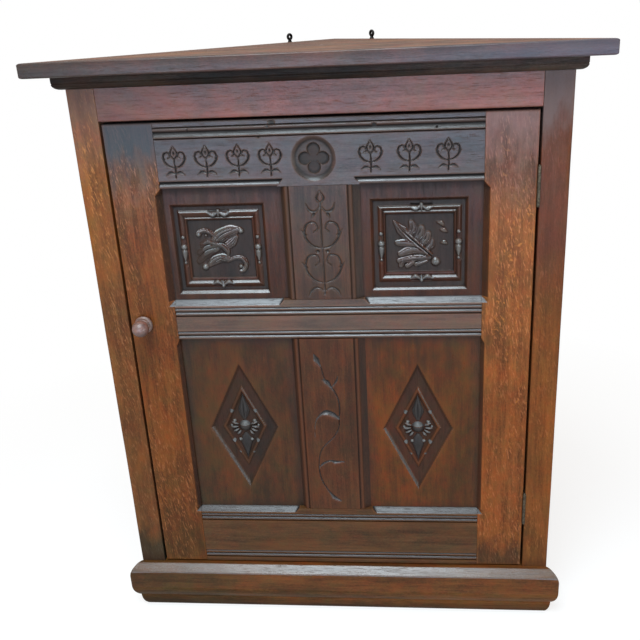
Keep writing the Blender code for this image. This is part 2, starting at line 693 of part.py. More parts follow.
def cut_sills(rail, head):
    """Chamfered sills under a pair of panels, cut square at the muntin and run out at the stiles."""
    leg = SILL_CHAMFER
    for side in (-1, 1):
        stations = [(MUNTIN_HALF, 0, leg), (MUNTIN_HALF + leg, leg, leg), (RAIL_HALF + CUT_MARGIN, leg, leg)]
        corner = (0, 0, head)
        boolean(rail, chamfer_cutter(stations, corner, (side, 0, 0), (0, 0, -1), (0, 1, 0)))


def build_door_rails():
    foot, head = DOOR_FOOT, BOTTOM_RAIL_HEAD
    low_reeds = foot + REED_WIDTH
    high_reeds = head - SILL_CHAMFER - REED_TO_SILL - 2 * REED_WIDTH
    face = [(0, foot), (0, low_reeds)]
    face += reed(low_reeds, REED_WIDTH) + reed(low_reeds + REED_WIDTH, REED_WIDTH)
    face += [(0, low_reeds + 2 * REED_WIDTH), (0, high_reeds)]
    face += reed(high_reeds, REED_WIDTH) + reed(high_reeds + REED_WIDTH, REED_WIDTH)
    face += [(0, high_reeds + 2 * REED_WIDTH), (0, head)]
    cut_sills(build_rail("door_bottom_rail", foot, head, face, DARK_OAK, False, True), head)

    foot, head = LOCK_RAIL_FOOT, LOCK_RAIL_HEAD
    high_reeds = head - SILL_CHAMFER - REED_TO_SILL - 2 * REED_WIDTH
    face = reed(foot, REED_WIDTH) + reed(foot + REED_WIDTH, REED_WIDTH)
    face += [(0, foot + 2 * REED_WIDTH), (0, high_reeds)]
    face += reed(high_reeds, REED_WIDTH) + reed(high_reeds + REED_WIDTH, REED_WIDTH)
    face += [(0, high_reeds + 2 * REED_WIDTH), (0, head)]
    cut_sills(build_rail("door_lock_rail", foot, head, face, DARK_OAK, True, True), head)

    foot, head = TOP_RAIL_FOOT, DOOR_HEAD
    wide = head - 2 * REED_WIDTH - WIDE_REED_WIDTH
    face = [(0, foot), (0, wide)] + reed(wide, WIDE_REED_WIDTH) + reed(wide + WIDE_REED_WIDTH, REED_WIDTH)
    face += [(0, wide + WIDE_REED_WIDTH + REED_WIDTH), (0, head - ARRIS_ROUND), (ARRIS_ROUND, head)]
    top_rail = build_rail("door_top_rail", foot, head, face, DARK_OAK, True, False)
    cut_edge_beads(top_rail, foot)
    cut_roundel(top_rail, foot + ROUNDEL_HEIGHT)


def cut_edge_beads(rail, foot):
    """Round a quirked bead along the lower edge of the top rail, over each panel."""
    radius = RAIL_BEAD / 2
    quirk = foot + RAIL_BEAD + EDGE_QUIRK
    outline = [(-CUT_MARGIN, quirk), (0, quirk)]
    outline += [(u, v) for u, v in arc((radius, foot + radius), (radius, radius), 90, 270, 8)]
    outline += [(radius, foot - CUT_MARGIN), (-CUT_MARGIN, foot - CUT_MARGIN)]
    for side in (-1, 1):
        ends = sorted((side * MUNTIN_HALF, side * (RAIL_HALF + CUT_MARGIN)))
        boolean(rail, prism([outline], ends[0], ends[1], "X"))


def cut_roundel(rail, height):
    """A dished roundel with a sunk quatrefoil."""
    place = Matrix.Translation((-ROUNDEL_OFF_CENTRE, 0, height))
    into = place @ Matrix.Rotation(math.radians(-90), 4, "X")
    slope = ROUNDEL_BEVEL / ROUNDEL_DEPTH
    mouth = ROUNDEL_RADIUS + slope * CUT_MARGIN
    dish = cylinder(mouth, -CUT_MARGIN, ROUNDEL_DEPTH, 40, into, ROUNDEL_RADIUS - ROUNDEL_BEVEL)
    boolean(rail, dish)
    reach = LOBE_OFFSET / ROOT_TWO + math.sqrt(LOBE_RADIUS ** 2 - LOBE_OFFSET ** 2 / 2)
    sweep = math.degrees(math.atan2(reach / ROOT_TWO, reach / ROOT_TWO - LOBE_OFFSET))
    outline = []
    for turn in (0, 90, 180, 270):
        a = math.radians(turn)
        centre = (LOBE_OFFSET * math.cos(a) - ROUNDEL_OFF_CENTRE, height + LOBE_OFFSET * math.sin(a))
        outline += arc(centre, (LOBE_RADIUS, LOBE_RADIUS), turn - sweep, turn + sweep, 12)[:-1]
    boolean(rail, prism([outline], -CUT_MARGIN, ROUNDEL_DEPTH + LOBE_DEPTH, "Y"))


def build_muntins():
    """Middle uprights with a bead and splay worked on both edges and grooves for the panels."""
    quirk = MUNTIN_HALF - MUNTIN_SPLAY_WIDTH - EDGE_BEAD - EDGE_QUIRK
    bead_start = quirk + EDGE_QUIRK
    bead_end = bead_start + EDGE_BEAD
    half = [(quirk, 0), (bead_start, REED_DEPTH)]
    half += arc((bead_start + EDGE_BEAD / 2, REED_DEPTH), (-EDGE_BEAD / 2, -EDGE_BEAD_RISE), 0, 180, 6)[1:]
    half += [(bead_end, 2 * REED_DEPTH), (MUNTIN_HALF, MUNTIN_SPLAY_DEPTH), (MUNTIN_HALF, GROOVE_FRONT)]
    floor = MUNTIN_HALF - GROOVE_DEPTH
    half += [(floor, GROOVE_FRONT), (floor, GROOVE_BACK), (MUNTIN_HALF, GROOVE_BACK)]
    half += [(MUNTIN_HALF, DOOR_THICKNESS)]
    outline = half + [(-x, y) for x, y in reversed(half)]
    muntins = {
        "lower_muntin": (BOTTOM_RAIL_HEAD, LOCK_RAIL_FOOT),
        "upper_muntin": (LOCK_RAIL_HEAD, TOP_RAIL_FOOT),
    }
    for name, (foot, head) in muntins.items():
        muntin = add_part(name, prism([outline], foot + FIT, head - FIT, "Z"), DOOR, DARK_OAK)
        low = (-MUNTIN_TENON_WIDTH / 2, TENON_DEPTH, foot - MUNTIN_TENON_LENGTH)
        high = (MUNTIN_TENON_WIDTH / 2, TENON_DEPTH + TENON_THICKNESS, head + MUNTIN_TENON_LENGTH)
        boolean(muntin, box(low, high), "UNION")


def panel_blank(left, right, foot, head):
    """A panel whose tongue runs in the grooves round an opening, raised on its face and its back."""
    reach = PANEL_TONGUE_REACH
    back = PANEL_TONGUE_DEPTH + PANEL_TONGUE_THICKNESS
    low = (left - reach, PANEL_TONGUE_DEPTH, foot - reach)
    high = (right + reach, back, head + reach)
    blank = box(low, high)
    rebate = reach + PANEL_PLAY
    step_face(blank, Vector((0, 1, 0)), [(rebate, 0), (0, PANEL_BACK_DEPTH - back)])
    return step_face(blank, Vector((0, -1, 0)), [(rebate, 0), (0, PANEL_TONGUE_DEPTH - PANEL_FACE_DEPTH)])


def bordered(mesh, normal):
    """A flat border round the face that looks along a normal, widest at the head and narrowest at the foot."""
    step_face(mesh, normal, [(PANEL_BORDER_FOOT, 0)])
    bm = bmesh.new()
    bm.from_mesh(mesh)
    face = max(bm.faces, key=lambda f: f.normal.dot(normal) * f.calc_area())
    middle = face.calc_center_median()
    for vert in face.verts:
        vert.co.x -= math.copysign(PANEL_BORDER_SIDE - PANEL_BORDER_FOOT, vert.co.x - middle.x)
        if vert.co.z > middle.z:
            vert.co.z -= PANEL_BORDER_HEAD - PANEL_BORDER_FOOT
    bm.to_mesh(mesh)
    bm.free()
    return mesh


def bead_steps(width, rise, count):
    """Insets and rises that climb over a half-round bead."""
    angles = [math.pi * i / count for i in range(count + 1)]
    spots = [(width / 2 * (1 - math.cos(a)), rise * math.sin(a)) for a in angles]
    return [(b[0] - a[0], b[1] - a[1]) for a, b in zip(spots, spots[1:])]


def build_panels():
    front = Vector((0, -1, 0))
    sunk = [(PANEL_BEVEL, -PANEL_BEVEL), (PANEL_GROUND, 0)]
    sunk += bead_steps(PANEL_BEAD, PANEL_BEAD_RISE, 6)
    sunk += [(PANEL_FIELD_STEP, -PANEL_FIELD_STEP), (LEAF_MARGIN, 0), (LEAF_RISE, LEAF_RISE)]
    for wall, side in (("left", -1), ("right", 1)):
        left, right = sorted((side * MUNTIN_HALF, side * RAIL_HALF))
        upper = bordered(panel_blank(left, right, LOCK_RAIL_HEAD, TOP_RAIL_FOOT), front)
        add_part(f"upper_{wall}_panel", step_face(upper, front, sunk), DOOR, DARK_OAK)
        lower = panel_blank(left, right, BOTTOM_RAIL_HEAD, LOCK_RAIL_FOOT)
        panel = add_part(f"lower_{wall}_panel", lower, DOOR, DARK_OAK)
        centre = (left + right) / 2
        middle = (BOTTOM_RAIL_HEAD + LOCK_RAIL_FOOT) / 2 - LOZENGE_DROP
        boolean(panel, lozenge_cutter(centre, middle))


def lozenge_cutter(centre, middle):
    """The hollow of a lozenge: bevelled edge, flat margin, standing rim and a raised rosette block."""
    half_width, half_height = LOZENGE_WIDTH / 2, LOZENGE_HEIGHT / 2
    outline = [(centre - half_width, middle), (centre, middle - half_height)]
    outline += [(centre + half_width, middle), (centre, middle + half_height)]
    plate = prism([outline], PANEL_FACE_DEPTH - 2 * CUT_MARGIN, PANEL_FACE_DEPTH, "Y")
    relief = [(LOZENGE_BEVEL, LOZENGE_BEVEL), (LOZENGE_MARGIN, 0), (LOZENGE_RIM, -LOZENGE_RIM_RISE)]
    relief += [(LOZENGE_RIM, LOZENGE_RIM_RISE), (LOZENGE_GROUND, 0), (ROSETTE_STEP, -ROSETTE_RISE)]
    return step_face(plate, Vector((0, 1, 0)), relief)


def build_latch():
    """A turned knob whose spindle passes through the lock stile and carries a tongue behind the frame."""
    collar = COLLAR_HEIGHT
    neck = collar + NECK_HEIGHT
    ball = neck + math.sqrt(BALL_RADIUS ** 2 - NECK_RADIUS ** 2)
    end = -(LATCH_FRONT + LATCH_THICKNESS + FIT)
    bore = LATCH_SCREW_RADIUS + FIT
    bore_floor = end + LATCH_SCREW_LENGTH + LATCH_SCREW_RADIUS
    base = math.degrees(math.asin((neck - ball) / BALL_RADIUS))
    profile = arc((0, ball), (BALL_RADIUS, BALL_RADIUS), 90, base, 10)
    profile += [(NECK_RADIUS, collar)]
    rim = collar / 2
    profile += arc((COLLAR_RADIUS - rim, rim + FIT), (rim, rim - FIT), 90, -90, 6)
    profile += [(SPINDLE_RADIUS, FIT), (SPINDLE_RADIUS, end), (bore, end)]
    profile += [(bore, bore_floor), (0, bore_floor)]
    knob = turned("door_knob", profile, 28, LATCH, (KNOB_X, 0, KNOB_Z), DARK_OAK)
    knob.rotation_euler = (math.radians(90), 0, 0)

    half = LATCH_WIDTH / 2
    hub = half + SPINDLE_RADIUS / 2
    tip = LATCH_REACH - half
    outline = arc((KNOB_X, KNOB_Z), (hub, hub), -45, 225, 14)
    outline += arc((KNOB_X, KNOB_Z - tip), (half, half), 180, 360, 8)
    hole = arc((KNOB_X, KNOB_Z), (SPINDLE_RADIUS + FIT, SPINDLE_RADIUS + FIT), 0, 345, 23)
    tongue = prism([outline, hole], LATCH_FRONT, LATCH_FRONT + LATCH_THICKNESS, "Y")
    add_part("latch_tongue", tongue, LATCH, IRON)

    face = FIT
    head = face + LATCH_WASHER_HEIGHT
    profile = arc((0, face), (LATCH_WASHER_RADIUS, LATCH_WASHER_HEIGHT), 90, 0, 5)
    profile += [(LATCH_SCREW_RADIUS, face), (LATCH_SCREW_RADIUS, face - LATCH_SCREW_LENGTH)]
    profile += [(0, face - LATCH_SCREW_LENGTH - LATCH_SCREW_RADIUS)]
    screw = turned("latch_screw", profile, 20, LATCH, (KNOB_X, -end, KNOB_Z), IRON)
    screw.rotation_euler = (math.radians(-90), 0, 0)


clear_scene()
PLACE_OF = {}
PARTS = new_collection("corner_cupboard")
CUTTERS = new_collection("cutters")
HINGE_HEIGHTS = {
    "upper": DOOR_HEAD - UPPER_HINGE_FROM_DOOR_TOP,
    "lower": DOOR_FOOT + LOWER_HINGE_FROM_DOOR_FOOT,
}
CUPBOARD = new_axis("cupboard_frame", (0, 0, 0))
DOOR = new_axis("door_axis", (HINGE_X, HINGE_Y, 0), CUPBOARD)
LATCH = new_axis("latch_axis", (KNOB_X, 0, KNOB_Z), DOOR)
build_front_frame()
build_mouldings()
build_top()
build_back_planks()
build_shelves()
build_stops()
build_hinges()
build_door_stiles()
build_door_rails()
build_muntins()
build_panels()
build_latch()
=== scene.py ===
import math

import bpy
import numpy as np
from mathutils import Matrix, Vector


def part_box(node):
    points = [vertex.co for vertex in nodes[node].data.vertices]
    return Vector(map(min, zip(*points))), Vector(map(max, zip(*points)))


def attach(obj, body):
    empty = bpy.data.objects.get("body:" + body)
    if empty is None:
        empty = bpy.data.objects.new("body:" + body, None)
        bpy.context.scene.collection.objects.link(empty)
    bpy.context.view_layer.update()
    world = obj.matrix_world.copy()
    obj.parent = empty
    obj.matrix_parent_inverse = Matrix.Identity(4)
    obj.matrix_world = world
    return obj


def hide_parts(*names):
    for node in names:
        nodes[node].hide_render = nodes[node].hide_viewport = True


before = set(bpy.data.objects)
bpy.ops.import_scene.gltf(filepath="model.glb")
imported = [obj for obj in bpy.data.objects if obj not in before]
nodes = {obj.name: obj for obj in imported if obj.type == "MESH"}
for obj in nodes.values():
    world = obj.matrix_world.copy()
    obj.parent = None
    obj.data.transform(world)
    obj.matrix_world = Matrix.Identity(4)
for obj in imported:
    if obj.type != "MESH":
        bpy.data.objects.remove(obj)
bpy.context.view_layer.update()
mm = 0.001
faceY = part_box("left_front_stile")[0].y  # plane of the front frame's face
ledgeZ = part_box("plinth_moulding")[1].z  # carving heights are counted from the plinth's ledge
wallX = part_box("right_front_stile")[1].x  # half the frame's width
jointGap = 0.0002  # left between two boards that meet
jointRound = 0.0004  # softening of a board's end at a joint
seat = 0.0003  # mouldings and knob stand this far off the wood behind them
panelTuck = 0.001  # what a panel reaches under the edges of its frame
cutShows = 0.0003  # depth from which a cut has its own finish
gapShadowDark = 0.85  # darkness of the painted shadow line beside the gap round the door
print("frame loaded:", len(nodes), "nodes")


# mesh helpers

def gridQuads(rows, columns, start=0, closed=False):
    # quads of a grid of points laid row by row; closed joins the last column to the first
    r, c = np.meshgrid(np.arange(rows - 1), np.arange(columns if closed else columns - 1), indexing="ij")
    a = start + r * columns + c
    b = start + r * columns + (c + 1) % columns
    return np.stack([a, b, b + columns, a + columns], axis=-1).reshape(-1, 4)


def meshFrom(name, points, quads, caps=(), marks=None, sharp=40, second=None):
    # signed volume = sum of p0 . (p1 x p2) / 6 over the triangles
    # a negative one means that the faces look inwards
    p = points[quads]
    whole = np.einsum("ij,ij->i", p[:, 0], np.cross(p[:, 1], p[:, 2]) + np.cross(p[:, 2], p[:, 3])).sum()
    for cap in caps:
        q = points[cap]
        whole += np.einsum("j,ij->i", q[0], np.cross(q[1:-1], q[2:])).sum()
    faces = quads.tolist() + [list(map(int, cap)) for cap in caps]
    if whole < 0:
        faces = [face[::-1] for face in faces]
    mesh = bpy.data.meshes.new(name)
    mesh.from_pydata(points.tolist(), [], faces)
    if second is not None:
        finish = np.zeros(len(faces), dtype=np.int32)
        finish[:len(second)] = second
        mesh.polygons.foreach_set("material_index", finish)
    for label, values in (marks or {}).items():
        mesh.attributes.new(label, "FLOAT", "POINT").data.foreach_set("value", values.astype(np.float32))
    mesh.shade_smooth()
    mesh.set_sharp_from_angle(angle=math.radians(sharp))
    mesh.update()
    return mesh


def addPiece(name, mesh, finish, body, slot, *stands):
    # a piece moves with its body, gets its finishes, and may stand for CAD nodes; slot is not used
    piece = bpy.data.objects.new(name, mesh)
    bpy.context.scene.collection.objects.link(piece)
    for material in finish if isinstance(finish, list) else [finish]:
        mesh.materials.append(material)
    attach(piece, body)
    if stands:
        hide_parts(*stands)


def stations(low, high, step, marks=(), fine=0.0004, reach=0.0018):
    # even places from low to high, closer together near both ends and near each mark
    even = np.linspace(low, high, max(2, round((high - low) / step) + 1))
    close = np.concatenate([m + np.arange(-reach, reach + fine / 2, fine) for m in (low, high, *marks)])
    every = np.sort(np.concatenate([even, close[(close > low) & (close < high)]]))
    keep = np.concatenate([[True], np.diff(every) > fine * 0.45])
    keep[-1] = True
    return every[keep]


def wobble(s, seed, length):
    # slow unevenness of a hand-planed edge: four sine waves with set phases, between about -1 and 1
    phases = np.random.RandomState(seed).uniform(0, 2 * np.pi, 4)
    waves = [np.sin(2 * np.pi * s / (length / k) + phase) / k for k, phase in zip((1, 1.7, 2.9, 4.3), phases)]
    return sum(waves) / 1.7


def roundOver(distance, radius):
    # quarter round at an edge: r - sqrt(r^2 - (r - d)^2) for d under r, else nothing
    d = np.clip(distance, 0, radius)
    return radius - np.sqrt(np.maximum(radius ** 2 - (radius - d) ** 2, 0))


def softened(values, cells):
    # box blur over 2 cells + 1 places, twice in each direction
    width = 2 * cells + 1
    for axis in (0, 1, 0, 1):
        pad = [(0, 0), (0, 0)]
        pad[axis] = (cells + 1, cells)
        total = np.cumsum(np.pad(values, pad, mode="edge"), axis=axis)
        high = np.take(total, np.arange(width, total.shape[axis]), axis=axis)
        low = np.take(total, np.arange(0, total.shape[axis] - width), axis=axis)
        values = (high - low) / width
    return values


def paintedGapShadow(distance, reach):
    # painted shadow: a dark line along an edge beside the gap round the door, fading out at reach
    return gapShadowDark * np.clip(1 - distance / reach, 0, 1)


def wearMarks(depth, cells, scale):
    # where the surface lies under its surroundings it holds dark wax, where it stands over them it is rubbed
    # the surroundings are a blur over some cells, and a difference of scale counts as full
    lower = (depth - softened(depth, cells)) / scale
    return np.clip(lower, 0, 1), np.clip(-lower, 0, 1)


def boardMesh(name, xs, zs, depth, back, wear=(6, 0.0012), rearX=None, grime=None, second=None):
    # front y = depth(x, z) over the grid xs by zs; straight walls run from its rim to the back plane
    gridX, gridZ = np.meshgrid(xs, zs)
    front = np.stack([gridX, faceY + depth, gridZ], axis=-1).reshape(-1, 3)
    rows, columns = gridX.shape
    index = np.arange(rows * columns).reshape(rows, columns)
    rim = np.concatenate([index[0], index[1:, -1], index[-1, -2::-1], index[-2:0:-1, 0]])
    rear = front[rim].copy()
    rear[:, 1] = faceY + back
    if rearX is not None:
        rear[:, 0] = rearX(rear[:, 0])
    ring = np.arange(len(rim))
    after = (ring + 1) % len(rim)
    start = rows * columns
    walls = np.stack([rim, start + ring, start + after, rim[after]], axis=-1)
    hollow, ridge = wearMarks(depth, *wear)
    if grime is not None:
        hollow = np.maximum(hollow, grime)
    none = np.zeros(len(rim))
    marks = {"hollow": np.concatenate([hollow.ravel(), none]), "ridge": np.concatenate([ridge.ravel(), none])}
    quads = np.concatenate([gridQuads(rows, columns), walls])
    if second is not None:
        near, far = second[:-1, :-1], second[1:, 1:]
        second = np.where(near == far, near, 0).ravel()
    points = np.concatenate([front, rear])
    return meshFrom(name, points, quads, [(start + ring)[::-1]], marks, second=second)


def sweptMesh(name, rings, marks=None, sharp=40, second=None):
    # rings[i, j]: point j of a closed profile at station i of its path; both ends are capped
    count, size = rings.shape[:2]
    first = np.arange(size)
    caps = [first[::-1], (count - 1) * size + first]
    quads = gridQuads(count, size, closed=True)
    return meshFrom(name, rings.reshape(-1, 3), quads, caps, marks, sharp, second)


def turnedMesh(name, profile, centre, along, steps=48):
    # profile of (radius, height) turned about the line through centre in the direction along
    axis = Vector(along).normalized()
    side = axis.orthogonal().normalized()
    other = axis.cross(side)
    angle = np.linspace(0, 2 * np.pi, steps, endpoint=False)
    turn = np.cos(angle)[:, None] * np.array(side) + np.sin(angle)[:, None] * np.array(other)
    rings = np.array(centre) + profile[:, :1, None] * turn + profile[:, 1:, None] * np.array(axis)
    return sweptMesh(name, rings)


# carving helpers: they work on a height map over the grid xs by zs; widths and heights are in millimetres

def window(xs, zs, lowX, highX, lowZ, highZ):
    # rows and columns of the grid that lie in a rectangle
    a, b = np.searchsorted(xs, (lowX, highX))
    c, d = np.searchsorted(zs, (lowZ, highZ))
    return slice(c, d), slice(a, b)


def spread(values, count):
    # values given at even steps along a path, worked out for each of its points
    values = np.ravel(values)
    return np.interp(np.linspace(0, 1, count), np.linspace(0, 1, len(values)), values)


def smoothPath(points, count):
    # Catmull-Rom curve through the points; a single point stays as it is
    p = np.asarray(points, float)
    if len(p) == 1:
        return p
    p = np.concatenate([[2 * p[0] - p[1]], p, [2 * p[-1] - p[-2]]])
    s = np.linspace(0, len(p) - 3 - 1e-9, count)
    i = s.astype(int)
    t = (s - i)[:, None]
    a, b, c, d = p[i], p[i + 1], p[i + 2], p[i + 3]
    square, cube = 2 * a - 5 * b + 4 * c - d, 3 * b - a - 3 * c + d
    return 0.5 * (2 * b + (c - a) * t + square * t ** 2 + cube * t ** 3)


def bothSides(lines, factor):
    # lines of the left or right half with their mirror images; those along the middle stay single
    made = []
    for points, widths in lines:
        made.append((points, widths, factor))
        if any(abs(x) > 2 for x, z in points):
            made.append(([(-x, z) for x, z in points], widths, factor))
    return made


def cutGroove(cut, xs, zs, path, halfWidth, deep):
    # V cut along a path: deep * (1 - distance / half width), the half width tapering from place to place
    half = spread(np.array(halfWidth) * mm, len(path))
    top = half.max()
    for i in range(len(path) - 1):
        (ax, az), (bx, bz) = path[i], path[i + 1]
        reach = max(half[i], half[i + 1])
        lowX, highX = min(ax, bx) - reach, max(ax, bx) + reach
        lowZ, highZ = min(az, bz) - reach, max(az, bz) + reach
        rows, columns = window(xs, zs, lowX, highX, lowZ, highZ)
        gridX, gridZ = np.meshgrid(xs[columns], zs[rows])
        if gridX.size == 0:
            continue
        span = max((bx - ax) ** 2 + (bz - az) ** 2, 1e-14)
        t = np.clip(((gridX - ax) * (bx - ax) + (gridZ - az) * (bz - az)) / span, 0, 1)
        away = np.hypot(gridX - ax - t * (bx - ax), gridZ - az - t * (bz - az))
        wide = np.maximum(half[i] + t * (half[i + 1] - half[i]), 1e-6)
        made = deep * mm * wide / top * np.clip(1 - away / wide, 0, 1)
        cut[rows, columns] = np.maximum(cut[rows, columns], made)


def raiseAlong(rise, xs, zs, path, radius, height, crown=0.5):
    # domes along a path: height * (1 - (distance / radius)^2) ^ crown, the highest one wins
    radii, tops = (spread(np.array(values) * mm, len(path)) for values in (radius, height))
    for (x, z), r, top in zip(path, radii, tops):
        rows, columns = window(xs, zs, x - r, x + r, z - r, z + r)
        gridX, gridZ = np.meshgrid(xs[columns], zs[rows])
        dome = top * np.clip(1 - ((gridX - x) ** 2 + (gridZ - z) ** 2) / r ** 2, 0, 1) ** crown
        rise[rows, columns] = np.maximum(rise[rows, columns], dome)


def place(points):
    # millimetres on the door, heights from the plinth's ledge, to metres in the frame
    return np.asarray(points, float).reshape(-1, 2) * mm + np.array([0, ledgeZ])


# shader helpers

def put(tree, kind, values=None, **settings):
    # a shader node with its settings; each value is a number, or a socket to link to that input
    made = tree.nodes.new("ShaderNode" + kind)
    for key, value in settings.items():
        setattr(made, key, value)
    for key, value in (values or {}).items():
        if isinstance(value, bpy.types.NodeSocket):
            tree.links.new(value, made.inputs[key])
        else:
            made.inputs[key].default_value = value
    return made


def work(tree, operation, a, b):
    return put(tree, "Math", {0: a, 1: b}, operation=operation).outputs[0]


def weighted(tree, *terms):
    # sum of values times their weights
    parts = [work(tree, "MULTIPLY", value, weight) for value, weight in terms]
    total = parts[0]
    for part in parts[1:]:
        total = work(tree, "ADD", total, part)
    return total


def ramp(tree, value, low, high, start=0.0, end=1.0):
    # start + (end - start) * (value - low) / (high - low), kept between start and end
    values = {"Value": value, "From Min": low, "From Max": high, "To Min": start, "To Max": end}
    return put(tree, "MapRange", values).outputs["Result"]


def blendColour(tree, share, a, b, kind="MIX"):
    # from colour a, by a share, to b or to the product of both
    values = {0: share, 6: a, 7: b}
    return put(tree, "Mix", values, data_type="RGBA", blend_type=kind).outputs[2]


def noise(tree, vector, detail, rough, distortion=0.0):
    values = {"Vector": vector, "Scale": 1.0, "Detail": detail, "Roughness": rough, "Distortion": distortion}
    return put(tree, "TexNoise", values).outputs["Fac"]


def stretched(tree, vector, scale, turn=(0, 0, 0)):
    # turned first and then scaled, which takes two nodes
    if any(turn):
        vector = put(tree, "Mapping", {"Vector": vector, "Rotation": turn}).outputs[0]
    return put(tree, "Mapping", {"Vector": vector, "Scale": scale}).outputs[0]


def newGroup(name, inputs, outputs):
    # an empty node group with named sockets, its way in and its way out
    tree = bpy.data.node_groups.new(name, "ShaderNodeTree")
    for label, kind in inputs:
        tree.interface.new_socket(label, in_out="INPUT", socket_type="NodeSocket" + kind)
    for label, kind in outputs:
        tree.interface.new_socket(label, in_out="OUTPUT", socket_type="NodeSocket" + kind)
    return tree, tree.nodes.new("NodeGroupInput"), tree.nodes.new("NodeGroupOutput")


def buildOakFigure():
    # figure of quarter-sawn oak, in a frame whose Z runs along the grain
    inputs = [("Place", "Vector")]
    outputs = [(label, "Float") for label in ("Streak", "Pore", "Fleck", "Flame", "Cloud", "Hue", "Dent")]
    tree, given, made = newGroup("oakFigure", inputs, outputs)
    spot = given.outputs["Place"]

    def figured(across, along, detail, rough, distortion=0.0, lean=0.0):
        # noise with its own scale across the grain and along it
        vector = stretched(tree, spot, (across, across, along), (0, lean, 0))
        return noise(tree, vector, detail, rough, distortion)

    broad = ramp(tree, figured(120, 8, 3, 0.6, 0.4), 0.36, 0.64)
    thin = ramp(tree, figured(560, 18, 2, 0.6), 0.34, 0.66)
    speck = ramp(tree, figured(430, 300, 2, 0.65), 0.34, 0.66)
    streak = weighted(tree, (broad, 0.42), (thin, 0.30), (speck, 0.28))
    pore = ramp(tree, figured(1500, 60, 1, 0.5), 0.60, 0.72)
    ray = figured(480, 92, 2, 0.5, 0.7, 0.22)
    zone = figured(34, 11, 2, 0.5)
    fleck = work(tree, "MULTIPLY", ramp(tree, ray, 0.56, 0.68), ramp(tree, zone, 0.36, 0.56))
    curl = figured(110, 46, 3, 0.6, 2.4, 0.35)
    flame = work(tree, "MULTIPLY", ramp(tree, curl, 0.56, 0.66), ramp(tree, zone, 0.50, 0.62))
    hue = ramp(tree, figured(46, 38, 5, 0.72), 0.34, 0.66)
    cloud = weighted(tree, (figured(15, 6, 3, 0.6), 0.6), (figured(60, 22, 3, 0.6), 0.4))
    dent = figured(55, 17, 2, 0.5)
    for (label, kind), value in zip(outputs, (streak, pore, fleck, flame, cloud, hue, dent)):
        tree.links.new(value, made.inputs[label])
    return tree


def buildWear():
    # dark wax in the hollows, rubbed ridges; both marks are stored on the carved meshes
    inputs = [("Color", "Color"), ("Wax", "Color"), ("Rubbed", "Color"), ("Grime", "Float"), ("Rub", "Float")]
    outputs = [("Color", "Color"), ("Hollow", "Float")]
    tree, given, made = newGroup("oakWear", inputs, outputs)
    hollow = put(tree, "Attribute", attribute_name="hollow").outputs["Fac"]
    ridge = put(tree, "Attribute", attribute_name="ridge").outputs["Fac"]
    waxed = work(tree, "MULTIPLY", hollow, given.outputs["Grime"])
    rubbed = work(tree, "MULTIPLY", ridge, given.outputs["Rub"])
    dark = blendColour(tree, waxed, given.outputs["Color"], given.outputs["Wax"])
    tree.links.new(blendColour(tree, rubbed, dark, given.outputs["Rubbed"]), made.inputs["Color"])
    tree.links.new(hollow, made.inputs["Hollow"])
    return tree


oakFigure = buildOakFigure()
oakWear = buildWear()
grainTurn = {
    "up": (0, 0, 0),
    "across": (0, math.radians(90), 0),
}
# what the marks make of a board's mean colour
oakTints = {
    "warm": (1.55, 1.38, 1.05), "dark": (0.42, 0.50, 0.60), "flame": (1.75, 1.85, 1.5),
    "pore": (0.22, 0.22, 0.22), "rubbed": (1.9, 1.8, 1.7),
    "reddish": (1.22, 0.86, 0.84), "greenish": (0.82, 1.10, 1.06),
}
# how far the marks go: cloud values, gain and lift of the rays, roughness and relief
oakSurface = {
    "cloudMiddle": 0.50, "cloudWarm": 0.66, "cloudDark": 0.34, "rayGain": 2.3, "rayLift": 0.016,
    "deepRough": 0.06, "paleRough": -0.04, "poreRough": 0.15, "waxRough": 0.35,
    "streakHigh": 0.5, "dentHigh": 1.6, "relief": 0.25, "reliefHigh": 0.0003,
}
# shares of the marks on a plain board; shine is the specular level, polish the roughness
oakLook = {
    "contrast": 0.58, "fleck": 0.15, "flame": 0.0, "cloud": 0.75, "hue": 0.7, "polish": 0.30, "shine": 0.16,
    "grime": 0.9, "rub": 0.5, "rubbed": None, "fades": (), "ragged": 0.24, "pores": 0.5,
    "wax": (0.009, 0.006, 0.005),
}


def tinted(tone, *factors):
    # a colour times its factors, none over 1
    return (*[min(c * f, 1) for c, f in zip(tone, factors)], 1)


